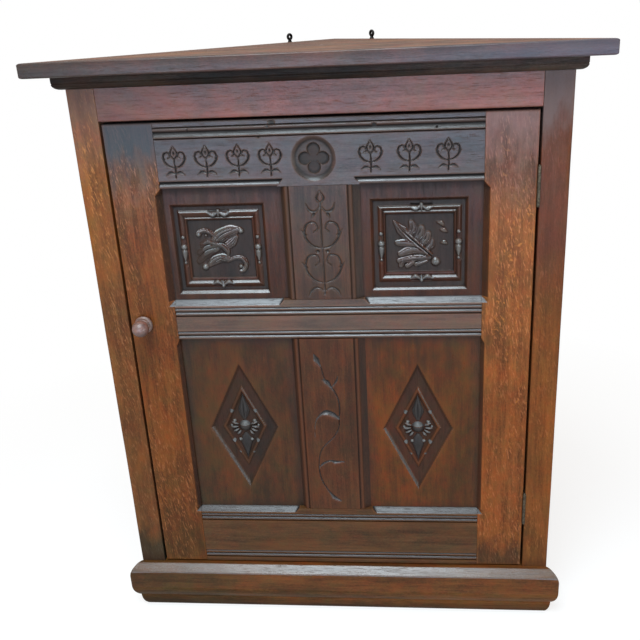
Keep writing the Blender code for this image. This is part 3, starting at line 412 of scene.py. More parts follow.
def oakMaterial(name, grain, shift, tone, **changes):
    # tone is the board's mean colour, linear; deep and pale grain lie on both sides of it
    look = {**oakLook, **changes}
    material = bpy.data.materials.new(name)
    material.use_nodes = True
    tree = material.node_tree
    shader = tree.nodes["Principled BSDF"]
    spot = put(tree, "TexCoord").outputs["Object"]
    along = put(tree, "Mapping", {"Vector": spot, "Location": shift, "Rotation": grainTurn[grain]}).outputs[0]
    figure = put(tree, "Group", {"Place": along}, node_tree=oakFigure).outputs
    deep = tinted(tone, *[1 - look["contrast"]] * 3)
    pale = tinted(tone, *[1 + look["contrast"]] * 3)
    base = blendColour(tree, figure["Streak"], deep, pale)
    middle, light, heavy = (oakSurface[key] for key in ("cloudMiddle", "cloudWarm", "cloudDark"))
    warm = ramp(tree, figure["Cloud"], middle, light, 0.0, look["cloud"])
    base = blendColour(tree, warm, base, tinted(tone, *oakTints["warm"]))
    dark = ramp(tree, figure["Cloud"], middle, heavy, 0.0, look["cloud"])
    base = blendColour(tree, dark, base, tinted(tone, *oakTints["dark"]))
    patch = blendColour(tree, figure["Hue"], (*oakTints["reddish"], 1), (*oakTints["greenish"], 1))
    base = blendColour(tree, look["hue"], base, patch, "MULTIPLY")
    flames = work(tree, "MULTIPLY", figure["Flame"], look["flame"])
    base = blendColour(tree, flames, base, tinted(tone, *oakTints["flame"]))
    rays = work(tree, "MULTIPLY", figure["Fleck"], look["fleck"])
    lifted = [c * oakSurface["rayGain"] + oakSurface["rayLift"] for c in tone]
    base = blendColour(tree, rays, base, tinted(lifted, 1, 1, 1))
    pores = work(tree, "MULTIPLY", figure["Pore"], look["pores"])
    base = blendColour(tree, pores, base, tinted(tone, *oakTints["pore"]))
    # slow changes of colour along the board, with a ragged edge; some are painted sheen
    for axis, start, end, kind, share, colour in look["fades"]:
        at = put(tree, "SeparateXYZ", {0: spot}).outputs[axis]
        ragged = work(tree, "MULTIPLY", work(tree, "SUBTRACT", figure["Cloud"], 0.5), look["ragged"])
        reached = ramp(tree, work(tree, "ADD", at, ragged), start, end, 0.0, share)
        base = blendColour(tree, reached, base, (*colour, 1), kind)
    rubbed = (*look["rubbed"], 1) if look["rubbed"] else tinted(tone, *oakTints["rubbed"])
    marks = {"Color": base, "Wax": (*look["wax"], 1), "Rubbed": rubbed}
    marks |= {"Grime": look["grime"], "Rub": look["rub"]}
    wear = put(tree, "Group", marks, node_tree=oakWear).outputs
    tree.links.new(wear["Color"], shader.inputs["Base Color"])
    roughest, smoothest = look["polish"] + oakSurface["deepRough"], look["polish"] + oakSurface["paleRough"]
    rough = ramp(tree, figure["Streak"], 0, 1, roughest, smoothest)
    rough = work(tree, "ADD", rough, work(tree, "MULTIPLY", figure["Pore"], oakSurface["poreRough"]))
    rough = work(tree, "ADD", rough, work(tree, "MULTIPLY", wear["Hollow"], oakSurface["waxRough"]))
    tree.links.new(rough, shader.inputs["Roughness"])
    shader.inputs["Specular IOR Level"].default_value = look["shine"]
    streaks = work(tree, "MULTIPLY", figure["Streak"], oakSurface["streakHigh"])
    height = work(tree, "SUBTRACT", streaks, figure["Pore"])
    height = work(tree, "ADD", height, work(tree, "MULTIPLY", figure["Dent"], oakSurface["dentHigh"]))
    relief = {"Strength": oakSurface["relief"], "Distance": oakSurface["reliefHigh"], "Height": height}
    bump = put(tree, "Bump", relief)
    tree.links.new(bump.outputs[0], shader.inputs["Normal"])
    return material


metalLook = {
    "patch": (260, 260, 260), "speck": (1600, 1600, 1600), "patchShare": 0.7, "speckShare": 0.3,
    "maskFrom": 0.38, "maskTo": 0.62, "dullRough": 0.28, "relief": 0.2, "reliefHigh": 0.0002,
}


def buildPatina():
    # patches with specks: the mask tells bright metal from dull
    outputs = [("Mask", "Float"), ("Speck", "Float")]
    tree, given, made = newGroup("metalPatina", [("Place", "Vector")], outputs)
    spot = given.outputs["Place"]
    patch = noise(tree, stretched(tree, spot, metalLook["patch"]), 4, 0.65)
    speck = noise(tree, stretched(tree, spot, metalLook["speck"]), 2, 0.6)
    both = weighted(tree, (patch, metalLook["patchShare"]), (speck, metalLook["speckShare"]))
    tree.links.new(ramp(tree, both, metalLook["maskFrom"], metalLook["maskTo"]), made.inputs["Mask"])
    tree.links.new(speck, made.inputs["Speck"])
    return tree


metalPatina = buildPatina()


def metalMaterial(name, bright, dull, polish):
    material = bpy.data.materials.new(name)
    material.use_nodes = True
    tree = material.node_tree
    shader = tree.nodes["Principled BSDF"]
    spot = put(tree, "TexCoord").outputs["Object"]
    patina = put(tree, "Group", {"Place": spot}, node_tree=metalPatina).outputs
    colour = blendColour(tree, patina["Mask"], (*bright, 1), (*dull, 1))
    tree.links.new(colour, shader.inputs["Base Color"])
    rough = ramp(tree, patina["Mask"], 0, 1, polish, polish + metalLook["dullRough"])
    tree.links.new(rough, shader.inputs["Roughness"])
    shader.inputs["Metallic"].default_value = 1.0
    relief = {"Strength": metalLook["relief"], "Distance": metalLook["reliefHigh"], "Height": patina["Speck"]}
    bump = put(tree, "Bump", relief)
    tree.links.new(bump.outputs[0], shader.inputs["Normal"])
    return material


# along the boards: axis, where the change starts and ends, kind of blend, share, colour
fades = {
    "frieze": [("X", -0.06, -0.15, "MULTIPLY", 1, (0.72, 0.74, 0.74))],
    "top": [
        ("X", -0.12, -0.32, "MULTIPLY", 1, (0.72, 0.85, 0.85)),
        # painted sheen: bluish grey towards the right end
        ("X", 0.05, 0.30, "MIX", 0.4, (0.08, 0.085, 0.12)),
    ],
    "cornice": [("X", -0.02, 0.22, "MULTIPLY", 1, (1.7, 1.75, 1.9))],
    "leftFrame": [
        ("Z", 0.165, 0.12, "MULTIPLY", 1, (0.20, 0.45, 0.70)),
        ("Z", 0.26, 0.36, "MULTIPLY", 1, (1.42, 1.32, 1.15)),
        ("Z", 0.40, 0.47, "MULTIPLY", 1, (0.82, 0.86, 0.92)),
        ("Z", 0.48, 0.66, "MULTIPLY", 1, (1.72, 1.60, 1.02)),
        # painted sheen: greyer at the top
        ("Z", 0.68, 0.78, "MIX", 0.5, (0.15, 0.11, 0.11)),
    ],
    "rightFrame": [
        ("Z", 0.14, 0.09, "MULTIPLY", 1, (0.75, 0.85, 0.80)),
        ("Z", 0.47, 0.58, "MULTIPLY", 1, (0.44, 0.40, 0.85)),
        # painted sheen: greyer at the top
        ("Z", 0.72, 0.76, "MIX", 0.6, (0.15, 0.125, 0.12)),
    ],
    "lockStile": [
        ("Z", 0.14, 0.09, "MULTIPLY", 1, (0.72, 0.85, 0.80)),
        # painted sheen: bluer, then grey-blue at the top
        ("Z", 0.60, 0.66, "MULTIPLY", 1, (1.20, 1.45, 2.20)),
        ("Z", 0.648, 0.718, "MIX", 0.85, (0.046, 0.058, 0.066)),
    ],
    "hingeStile": [
        ("Z", 0.15, 0.10, "MULTIPLY", 1, (0.45, 0.60, 0.80)),
        ("Z", 0.38, 0.46, "MULTIPLY", 1, (1.32, 1.40, 1.40)),
        # painted sheen: bluer, then greyer at the top; then darker at the very top
        ("Z", 0.61, 0.66, "MULTIPLY", 1, (0.58, 0.69, 1.25)),
        ("Z", 0.67, 0.73, "MIX", 0.55, (0.29, 0.158, 0.142)),
        ("Z", 0.735, 0.755, "MULTIPLY", 1, (0.62, 0.78, 0.85)),
    ],
    "plinth": [("X", -0.10, -0.20, "MULTIPLY", 1, (0.62, 0.76, 0.80))],
    "topRail": [("Z", 0.70, 0.675, "MULTIPLY", 1, (1.40, 1.40, 1.40))],
    "upperPanels": [("X", -0.02, 0.02, "MULTIPLY", 1, (0.92, 0.92, 0.92))],
    "leftPanel": [("X", -0.10, -0.19, "MULTIPLY", 1, (0.80, 0.95, 0.95))],
    "rightPanel": [("X", 0.12, 0.18, "MULTIPLY", 1, (0.78, 0.92, 0.95))],
}
fades["plinthFoot"] = fades["plinth"]
panelLook = {"shine": 0.24, "fleck": 0.05, "contrast": 0.40, "cloud": 1.0, "hue": 1.0, "grime": 0.65}
sillLook = {"polish": 0.27, "cloud": 0.3, "contrast": 0.28, "hue": 0.2}
carvedLook = {"polish": 0.26, "rub": 0.4}
insideLook = {"polish": 0.55, "fleck": 0.25}
plankLook = {"polish": 0.60, "fleck": 0.2}
# grain direction, shift of the figure, mean linear colour, and what departs from the plain board
finishes = {
    "frieze": (
        "across", (0.3, 0.1, 0.7), (0.208, 0.066, 0.043),
        {"shine": 0.36, "fleck": 0.05, "contrast": 0.42},
    ),
    "top": ("across", (1.3, 0.6, 0.2), (0.080, 0.034, 0.024), {"shine": 0.36, "fleck": 0.1}),
    "topFace": ("across", (1.3, 0.6, 0.2), (0.176, 0.100, 0.074), {"shine": 0.03, "polish": 0.62}),
    "cornice": ("across", (2.1, 0.2, 0.9), (0.044, 0.026, 0.018), {"shine": 0.05, "fleck": 0.05}),
    "leftFrame": ("up", (0.4, 0.9, 0.3), (0.114, 0.040, 0.012), {"fleck": 0.85, "flame": 0.4}),
    "rightFrame": ("up", (1.7, 0.4, 1.1), (0.165, 0.048, 0.010), {"fleck": 0.45, "flame": 0.4}),
    "lockStile": ("up", (2.6, 1.3, 0.5), (0.147, 0.043, 0.010), {"fleck": 0.80, "flame": 0.6}),
    "hingeStile": ("up", (3.3, 0.7, 1.9), (0.186, 0.053, 0.013), {"fleck": 0.70, "flame": 1.0}),
    "topRail": ("across", (0.8, 1.9, 1.2), (0.052, 0.027, 0.020), {"shine": 0.42}),
    "roundel": ("across", (0.8, 1.9, 1.2), (0.045, 0.025, 0.018), {"shine": 0.34}),
    "lockRail": ("across", (1.1, 2.3, 0.4), (0.098, 0.048, 0.030), {"shine": 0.38}),
    "bottomRail": ("across", (1.9, 2.9, 1.6), (0.082, 0.034, 0.013), {"shine": 0.18}),
    "upperMuntin": ("up", (2.2, 0.5, 2.4), (0.060, 0.024, 0.011), {"shine": 0.28}),
    "lowerMuntin": ("up", (2.9, 1.5, 2.0), (0.074, 0.023, 0.008), {"shine": 0.22}),
    "upperPanels": ("up", (3.6, 2.5, 0.6), (0.056, 0.020, 0.011), {"shine": 0.17, **carvedLook}),
    "panelGrounds": ("up", (3.6, 2.5, 0.6), (0.044, 0.022, 0.014), {"shine": 0.24, **carvedLook}),
    "leftPanel": ("up", (4.3, 1.1, 1.4), (0.066, 0.022, 0.006), panelLook),
    "rightPanel": ("up", (4.9, 1.8, 2.7), (0.104, 0.027, 0.004), panelLook),
    # pale rubbed ridges: worn high points, partly painted highlight
    "carvings": (
        "up", (1.6, 3.5, 0.9), (0.050, 0.031, 0.024),
        {"shine": 0.60, "polish": 0.20, "cloud": 0.5, "grime": 0.7, "rub": 0.6,
         "rubbed": (0.15, 0.135, 0.12)},
    ),
    "plinth": ("across", (2.4, 3.1, 0.1), (0.130, 0.043, 0.012), {"shine": 0.17}),
    "plinthFoot": ("across", (2.4, 3.1, 0.1), (0.137, 0.054, 0.019), {"shine": 0.05, "polish": 0.40}),
    "leaves": (
        "up", (0.9, 2.7, 1.7), (0.064, 0.040, 0.030),
        {"shine": 0.32, "polish": 0.26, "cloud": 0.8, "rubbed": (0.12, 0.092, 0.076)},
    ),
    # pale colour on the leaf's upward slopes: painted highlight
    "paintedLeafHighlights": ("up", (0.9, 2.7, 1.7), (0.30, 0.285, 0.28), {"shine": 0.60, "polish": 0.34, "rub": 0.2}),
    # pale colour for the pearls and the boss's upper side: partly painted highlight
    "pearls": (
        "up", (0.9, 1.7, 2.7), (0.13, 0.125, 0.115),
        {"shine": 0.8, "polish": 0.22, "cloud": 0.2, "hue": 0.1},
    ),
    "splay": ("across", (3.4, 2.2, 1.3), (0.105, 0.058, 0.036), {"shine": 0.56, **sillLook}),
    "sills": ("across", (3.4, 2.2, 1.3), (0.036, 0.024, 0.022), {"shine": 0.60, **sillLook}),
    "lowSills": ("across", (3.4, 2.2, 1.3), (0.035, 0.023, 0.019), {"shine": 0.38, **sillLook}),
    # greyer finish for slopes that face the light: painted highlight
    "highlightSlopes": ("up", (0.9, 2.2, 0.4), (0.058, 0.038, 0.028), {"shine": 0.26, **sillLook}),
    "knobWood": ("across", (0.2, 0.3, 3.1), (0.160, 0.082, 0.062), {"shine": 0.85, "polish": 0.42}),
    "shelves": ("across", (5.2, 0.9, 0.8), (0.165, 0.100, 0.053), insideLook),
    "insideUp": ("up", (5.7, 1.6, 2.2), (0.158, 0.094, 0.050), insideLook),
    "leftPlankA": ("up", (6.1, 0.2, 1.0), (0.132, 0.075, 0.039), plankLook),
    "leftPlankB": ("up", (6.6, 0.8, 1.8), (0.145, 0.082, 0.041), plankLook),
    "rightPlankA": ("up", (7.1, 1.4, 0.3), (0.128, 0.072, 0.038), plankLook),
    "rightPlankB": ("up", (7.7, 2.1, 2.5), (0.140, 0.080, 0.043), plankLook),
}
oak = {}
for finishName, (grain, shift, tone, changes) in finishes.items():
    oak[finishName] = oakMaterial(finishName, grain, shift, tone, fades=fades.get(finishName, ()), **changes)
brass = metalMaterial("agedBrass", (0.13, 0.10, 0.066), (0.05, 0.04, 0.03), 0.40)
iron = metalMaterial("blackIron", (0.030, 0.027, 0.025), (0.010, 0.008, 0.007), 0.45)
print("materials made:", len(oak) + 2)


# front frame: two stiles cut back on the wall planes, and the frieze rail

frontStile = {
    "arris": 0.0012, "outerArris": 0.0016, "uneven": 0.45, "wave": 0.31, "step": 0.006,
    "stain": 0.016, "stainHigh": 1.2, "stainUneven": 0.5, "stainWave": 0.04, "stainGrime": 0.7,
}


def frontStileMesh(node, side):
    # a flat face with rounded edges, the outer one uneven; the back is narrower, on the wall plane
    low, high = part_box(node)
    back = high.y - faceY
    xs = stations(low.x, high.x, frontStile["step"])
    zs = stations(low.z, high.z, frontStile["step"])
    gridX, gridZ = np.meshgrid(xs, zs)
    outer, inner = (high.x, low.x) if side > 0 else (low.x, high.x)
    worn = frontStile["outerArris"] * (1 + frontStile["uneven"] * wobble(gridZ, 3 + side, frontStile["wave"]))
    depth = roundOver(np.abs(outer - gridX), worn) + roundOver(np.abs(gridX - inner), frontStile["arris"])
    shrink = 1 - back / abs(outer - inner)
    # a dark stain at the foot, with an uneven upper edge
    edge = frontStile["stainUneven"] * wobble(gridX, 5 + side, frontStile["stainWave"])
    foot = ledgeZ + frontStile["stain"] * (frontStile["stainHigh"] + edge)
    grime = frontStile["stainGrime"] * np.clip((foot - gridZ) / frontStile["stain"], 0, 1)
    return boardMesh(
        node, xs, zs, depth, back, rearX=lambda x: inner + (x - inner) * shrink, grime=grime,
    )


for side, word in ((-1, "left"), (1, "right")):
    node = f"{word}_front_stile"
    mesh = frontStileMesh(node, side)
    addPiece(f"{word}_frame_stile", mesh, oak[f"{word}Frame"], "carcass", "waxed_oak", node)

frieze = {"arris": 0.0012, "step": 0.008, "fineStep": 0.004, "darkening": 0.0024}
low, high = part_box("frieze_rail")
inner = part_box("left_front_stile")[1].x
xs = stations(inner + jointGap, -inner - jointGap, frieze["step"])
zs = stations(low.z, high.z, frieze["fineStep"])
gridX, gridZ = np.meshgrid(xs, zs)
depth = roundOver(gridZ - low.z, frieze["arris"]) + roundOver(-inner - np.abs(gridX), jointRound)
# painted shadow along the frieze's lower edge, over the gap above the door
darkening = paintedGapShadow(gridZ - low.z, frieze["darkening"])
mesh = boardMesh("friezeBoard", xs, zs, depth, high.y - faceY, grime=darkening)
addPiece("frieze_board", mesh, oak["frieze"], "carcass", "waxed_oak", "frieze_rail")
print("front frame made")


# plinth and cornice: profiles of (depth, height) carried along X, ends cut on the wall planes

plinth = {
    "projection": 0.017, "ledge": 0.0055, "splay": 0.010, "face": 0.026,
    "setIn": 0.0088, "curve": 50, "fillet": 0.0005, "foot": 0.001, "arris": 0.0016, "shoulder": 0.0018,
    "endArris": 0.004, "endShoulder": 0.0085, "endReach": 0.045, "dents": 0.0003, "back": 0.0009,
    "splayOver": (0.0008, 0.0004), "curveUnder": 0.002,
    "darkeningAt": (0, 0.35, 0.8, 1), "darkening": (0.6, 0.4, 0.05, 0),
}
cornice = {"projection": 0.012, "fillet": 0.0085, "foot": 0.002, "soften": 0.0012, "dents": 0.0002}
moulding = {"stations": 161, "dentsFrom": 0.004, "dentSpan": 0.3, "dentWave": 0.23}


def arcPoints(centre, radii, start, end, count=10):
    # centre + radii * (cos a, sin a), a in degrees
    a = np.radians(np.linspace(start, end, count))
    return np.stack([centre[0] + radii[0] * np.cos(a), centre[1] + radii[1] * np.sin(a)], axis=-1)


def mouldingMesh(name, profile, seed, dents, second=None, grime=None, worn=None):
    # x runs from one wall plane to the other: t * (half width - y), with slow unevenness along the length
    # towards both ends the profile turns into the worn one
    t = np.sin(np.linspace(-np.pi / 2, np.pi / 2, moulding["stations"]))[:, None]
    ends = np.clip(1 - (1 - np.abs(t)) * wallX / plinth["endReach"], 0, 1) ** 2
    shape = profile + ends[:, :, None] * ((profile if worn is None else worn) - profile)
    standsOut = shape[:, :, 0] < -moulding["dentsFrom"]
    y = shape[:, :, 0] + dents * wobble(t * moulding["dentSpan"], seed, moulding["dentWave"]) * standsOut
    rings = np.stack([t * (wallX - y), faceY + y, shape[:, :, 1]], axis=-1)
    marks = None if grime is None else {"hollow": np.tile(grime, len(t))}
    return sweptMesh(name, rings, marks, second=None if second is None else np.tile(second, len(t) - 1))


def leaningCurve(start, end):
    # part of an ellipse, turned through the curve angle: it leaves start straight down and leans in to end
    turn = math.radians(plinth["curve"])
    back = (end[0] - start[0]) / (1 - math.cos(turn))
    down = (start[1] - end[1]) / math.sin(turn)
    return arcPoints((start[0] + back, start[1]), (-back, -down), 0, plinth["curve"], 12)


def eased(before, corner, after, radius, count=5):
    # a corner of a profile rounded with a quadratic curve that starts and ends radius away from it
    before, corner, after = (np.asarray(p, float) for p in (before, corner, after))
    a = corner + (before - corner) / np.linalg.norm(before - corner) * radius
    b = corner + (after - corner) / np.linalg.norm(after - corner) * radius
    t = np.linspace(0, 1, count)[:, None]
    return (1 - t) ** 2 * a + 2 * t * (1 - t) * corner + t ** 2 * b


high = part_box("plinth_moulding")[1]
out, ledge = -plinth["projection"], -plinth["ledge"]
faceHead = high.z - plinth["splay"]
faceFoot = faceHead - plinth["face"]
setIn = out + plinth["setIn"]
half = faceFoot / 2


def plinthProfile(arris, shoulder):
    # over the ledge, down the splay and the face, then two leaning curves with a fillet between them
    return np.concatenate([
        [(-seat, high.z), (-plinth["back"], high.z)],
        eased((0, high.z), (ledge, high.z), (out, faceHead), arris),
        eased((ledge, high.z), (out, faceHead), (out, faceFoot), shoulder, 9),
        np.linspace((out, faceHead - shoulder), (out, faceFoot), 5)[1:],
        leaningCurve((out, faceFoot), (setIn, half))[1:],
        leaningCurve((setIn + plinth["fillet"], half - plinth["fillet"]), (-plinth["foot"], 0)),
        [(-seat, 0)],
    ])


profile = plinthProfile(plinth["arris"], plinth["shoulder"])
wornProfile = plinthProfile(plinth["endArris"], plinth["endShoulder"])
# the splay and the curves at the foot have finishes of their own, a little over or under their edges
following = np.roll(profile, -1, axis=0)
overDown, overBack = plinth["splayOver"]
splayed = np.minimum(profile[:, 1], following[:, 1]) > faceHead - overDown
splayed &= profile[:, 0] < ledge + overBack
curved = np.maximum(profile[:, 1], following[:, 1]) < faceFoot - plinth["curveUnder"]
# darker towards the foot of the plinth
darkening = np.interp(profile[:, 1], half * np.array(plinth["darkeningAt"]), plinth["darkening"])
strips = splayed + 2 * curved
plinthMesh = mouldingMesh("plinthBoard", profile, 11, plinth["dents"], strips, darkening, wornProfile)
plinthFinish = [oak["plinth"], oak["splay"], oak["plinthFoot"]]
addPiece("plinth_board", plinthMesh, plinthFinish, "carcass", "carved_oak", "plinth_moulding")

low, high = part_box("cornice_moulding")
fillet = high.z - cornice["fillet"]
out, soft = cornice["projection"], cornice["soften"]
profile = np.concatenate([
    [(-seat, high.z), (-out / 2, high.z)],
    arcPoints((-out + soft, high.z - soft), (-soft, soft), 90, 0, 5),
    arcPoints((-out + soft, fillet + soft), (-soft, -soft), 0, 60, 4),
    arcPoints((-cornice["foot"], fillet), (cornice["foot"] - out, low.z - fillet), 8, 90, 12),
    [(-seat, low.z)],
])
mesh = mouldingMesh("corniceBoard", profile, 17, cornice["dents"])
addPiece("cornice_board", mesh, oak["cornice"], "carcass", "waxed_oak", "cornice_moulding")
print("mouldings made")


# top board: a triangle with rounded corners; rings step in from its edge, then shrink to the middle

topBoard = {
    "corner": 0.0008, "round": 0.0022, "roundSteps": 6, "perSide": 90,
    "rings": 9, "ringsFrom": 0.008, "ringsTo": 0.98,
}


def roundedTriangle(corners, radius, perSide):
    # points along the edge of a triangle whose corners are rounded
    corners = np.asarray(corners, float)
    points = []
    for i in range(3):
        a, b, c = corners[i - 1], corners[i], corners[(i + 1) % 3]
        into = (a - b) / np.linalg.norm(a - b)
        onward = (c - b) / np.linalg.norm(c - b)
        halfAngle = math.acos(np.clip(into @ onward, -1, 1)) / 2
        cut = radius / math.tan(halfAngle)
        middle = b + (into + onward) / np.linalg.norm(into + onward) * radius / math.sin(halfAngle)
        start, end = b + into * cut - middle, b + onward * cut - middle
        first = math.atan2(start[1], start[0])
        sweep = (math.atan2(end[1], end[0]) - first + math.pi) % (2 * math.pi) - math.pi
        angle = first + np.linspace(0, sweep, 9)
        points.append(middle + radius * np.stack([np.cos(angle), np.sin(angle)], axis=-1))
        points.append(np.linspace(b + onward * cut * 1.5, c - onward * cut * 1.5, perSide))
    return np.concatenate(points)


def topBoardMesh():
    # a ring at inset d is the edge scaled by 1 - d / r about the centre of the inner circle, of radius r
    low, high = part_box("top_board")
    reach = high.y - low.y
    inner = reach / (1 + math.sqrt(2))
    centre = np.array([0, low.y + inner])
    corners = [(-reach, low.y), (reach, low.y), (0, high.y)]
    edge = roundedTriangle(corners, topBoard["corner"], topBoard["perSide"])
    r = topBoard["round"]
    quarter = np.radians(np.linspace(0, 90, topBoard["roundSteps"]))
    turnIn = r * (1 - np.sin(quarter))
    turnUp = r * (1 - np.cos(quarter))
    middles = np.linspace(topBoard["ringsFrom"], inner * topBoard["ringsTo"], topBoard["rings"])
    level = np.ones(len(middles))
    insets = np.concatenate([middles[::-1], turnIn, turnIn[::-1], middles])
    heights = np.concatenate([level * low.z, low.z + turnUp, high.z - turnUp[::-1], level * high.z])
    flat = centre + (1 - insets / inner)[:, None, None] * (edge - centre)
    upright = np.broadcast_to(heights[:, None, None], (*flat.shape[:2], 1))
    points = np.concatenate([flat, upright], axis=-1)
    upper = np.arange(len(insets) - 1) >= len(insets) - len(middles) - 1
    return sweptMesh("topBoard", points, second=np.repeat(upper, len(edge)))


addPiece("top_plank", topBoardMesh(), [oak["top"], oak["topFace"]], "carcass", "waxed_oak", "top_board")
print("top made")


# door stiles: stopped chamfers beside the panels
# closeX and closeZ, here and on the rails: the fine step beside a mark, and how far it reaches

# the chamfers' darkness is a painted shade; the reach at the head is that of a painted shadow under the
# frieze
doorStile = {
    "arris": 0.0014, "endRound": 0.0008, "innerRound": 0.0005, "step": 0.006,
    "upper": 0.008, "lower": 0.005, "stop": 0.009, "sill": 0.0075, "grime": 0.9, "darkening": 0.0022,
    "closeX": (0.0005, 0.0088), "closeZ": (0.0006, 0.0048), "chamferShadeFrom": 0.0004, "wear": (5, 0.002),
}
railFoot = {name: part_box(f"door_{name}_rail")[0].z for name in ("bottom", "lock", "top")}
railHead = {name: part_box(f"door_{name}_rail")[1].z for name in ("bottom", "lock", "top")}
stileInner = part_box("door_hinge_stile")[0].x
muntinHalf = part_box("upper_muntin")[1].x


def doorStileMesh(node, side):
    # a chamfer of a given leg cuts leg - distance from the edge; the deepest cut counts
    low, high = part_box(node)
    stop = doorStile["stop"]
    chamfers = (
        (railHead["bottom"], railFoot["lock"], doorStile["lower"]),
        (railHead["lock"], railFoot["top"], doorStile["upper"]),
    )
    marks = [z for foot, head, leg in chamfers for z in (foot - doorStile["sill"], foot, head - stop, head)]
    inner, outer = side * stileInner, (high.x if side > 0 else low.x)
    xs = stations(low.x, high.x, doorStile["step"], (), *doorStile["closeX"])
    zs = stations(low.z, high.z, doorStile["step"], marks, *doorStile["closeZ"])
    gridX, gridZ = np.meshgrid(xs, zs)
    fromInner = np.abs(gridX - inner)
    depth = roundOver(np.abs(outer - gridX), doorStile["arris"])
    depth += roundOver(fromInner, doorStile["innerRound"])
    grime = np.zeros(gridX.shape)
    sill = np.zeros(gridX.shape, int)
    for level, (foot, head, leg) in zip((2, 1), chamfers):
        legs = np.interp(gridZ, (foot, head - stop, head), (leg, leg, 0), left=0, right=0)
        side45 = np.clip(legs - fromInner, 0, 1) * (gridZ >= foot)
        drop = foot - gridZ
        mitre = np.clip(doorStile["sill"] - np.maximum(drop, fromInner), 0, 1) * (drop > 0)
        depth = np.maximum(depth, np.maximum(side45, mitre))
        # the chamfers are darkened: painted shade
        grime = np.maximum(grime, doorStile["grime"] * (side45 > doorStile["chamferShadeFrom"]))
        sill[(mitre > 0) & (drop > fromInner)] = level
    for fromEnd in (gridZ - low.z, high.z - gridZ):
        depth += roundOver(fromEnd, doorStile["endRound"])
    # painted shadow along the stile's head, under the frieze
    grime = np.maximum(grime, paintedGapShadow(high.z - gridZ, doorStile["darkening"]))
    return boardMesh(node, xs, zs, depth, high.y - faceY, wear=doorStile["wear"], grime=grime, second=sill)


for side, word in ((-1, "lock"), (1, "hinge")):
    node = f"door_{word}_stile"
    stileFinish = [oak[f"{word}Stile"], oak["sills"], oak["lowSills"]]
    addPiece(f"{word}_stile", doorStileMesh(node, side), stileFinish, "door", "waxed_oak", node)
print("door stiles made")


# door rails: reeds, chamfered sills, a quirked bead over the panels

rails = {
    "reed": 0.0063, "reedDepth": 0.0025, "wideReed": 0.0084, "wideDeep": 0.0037, "reedToSill": 0.0025,
    "quirk": 0.0015, "sill": 0.0075, "leftEnd": 0.0560, "rightEnd": 0.0525, "slant": 0.8, "slantEdge": 0.0014,
    "stepX": 0.005, "stepZ": 0.004, "closeX": (0.0004, 0.006), "closeZ": (0.00045, 0.0045), "stopMark": 0.003,
    "reedSoft": 0.45, "wideAt": (0, 0.12, 0.24, 1), "wideDrop": (1, 0.15, 0, 1), "sillShows": 0.0001,
    "polished": (0.56, 0.98), "widePolished": (0.22, 0.97), "wear": (3, 0.0008),
}


def roofRise(u, soft=0.22):
    # two straight slopes with a softened ridge: 1 at u = 0, nothing at -1 and 1
    return np.clip(1 - (np.hypot(u, soft) - soft) / (math.hypot(1, soft) - soft), 0, 1)


def reedDepth(z, foot, width):
    # reed between two quirks, u from -1 to 1 across it
    u = (z - foot - width / 2) / (width / 2)
    return np.where(np.abs(u) <= 1, rails["reedDepth"] * (1 - roofRise(u, rails["reedSoft"])), 0)


def slopedReed(z, foot, width, deep):
    # reed with a low ridge: a short rise from the quirk, then a long slope that looks up
    share = (z - foot) / width
    lowered = np.interp(share, rails["wideAt"], rails["wideDrop"]) * deep
    return np.where((share >= 0) & (share <= 1), lowered, 0)


def sillDepth(gridX, gridZ, head):
    # chamfer under a panel: leg - drop, cut off on a slant beside the muntin
    drop = head - gridZ
    end = np.where(gridX < 0, rails["leftEnd"], rails["rightEnd"])
    kept = np.clip((np.abs(gridX) - end - rails["slant"] * drop) / rails["slantEdge"], 0, 1)
    return np.clip(rails["sill"] - drop, 0, 1) * kept


railEdge = stileInner - jointGap
stops = [-rails["leftEnd"] - rails["stopMark"], rails["rightEnd"] + rails["stopMark"]]
polishFrom, polishTo = np.array(rails["polished"]) * rails["reed"]
for name in ("bottom", "lock"):
    foot, head = railFoot[name], railHead[name]
    lowReeds = foot + (rails["reed"] if name == "bottom" else 0)
    highReeds = head - rails["sill"] - rails["reedToSill"] - 2 * rails["reed"]
    starts = [lowReeds, lowReeds + rails["reed"], highReeds, highReeds + rails["reed"]]
    marks = [s + rails["reed"] / 2 for s in starts] + [head - rails["sill"]]
    xs = stations(-railEdge, railEdge, rails["stepX"], stops, *rails["closeX"])
    zs = stations(foot, head, rails["stepZ"], marks, *rails["closeZ"])
    gridX, gridZ = np.meshgrid(xs, zs)
    depth = sum(reedDepth(gridZ, start, rails["reed"]) for start in starts)
    sill = sillDepth(gridX, gridZ, head)
    depth = np.maximum(depth, sill) + roundOver(stileInner - np.abs(gridX), jointRound)
    # the sills and the upper slopes of the reeds are polished
    shining = (sill > rails["sillShows"]) * 1
    for start in starts:
        shining[(gridZ > start + polishFrom) & (gridZ < start + polishTo)] = 1
    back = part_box(f"door_{name}_rail")[1].y - faceY
    mesh = boardMesh(f"{name}Rail", xs, zs, depth, back, wear=rails["wear"], second=shining)
    railFinish = [oak[f"{name}Rail"], oak["sills" if name == "lock" else "lowSills"]]
    addPiece(f"{name}_rail", mesh, railFinish, "door", "carved_oak", f"door_{name}_rail")
print("lower rails made")


# incised sprigs and the roundel on the top rail

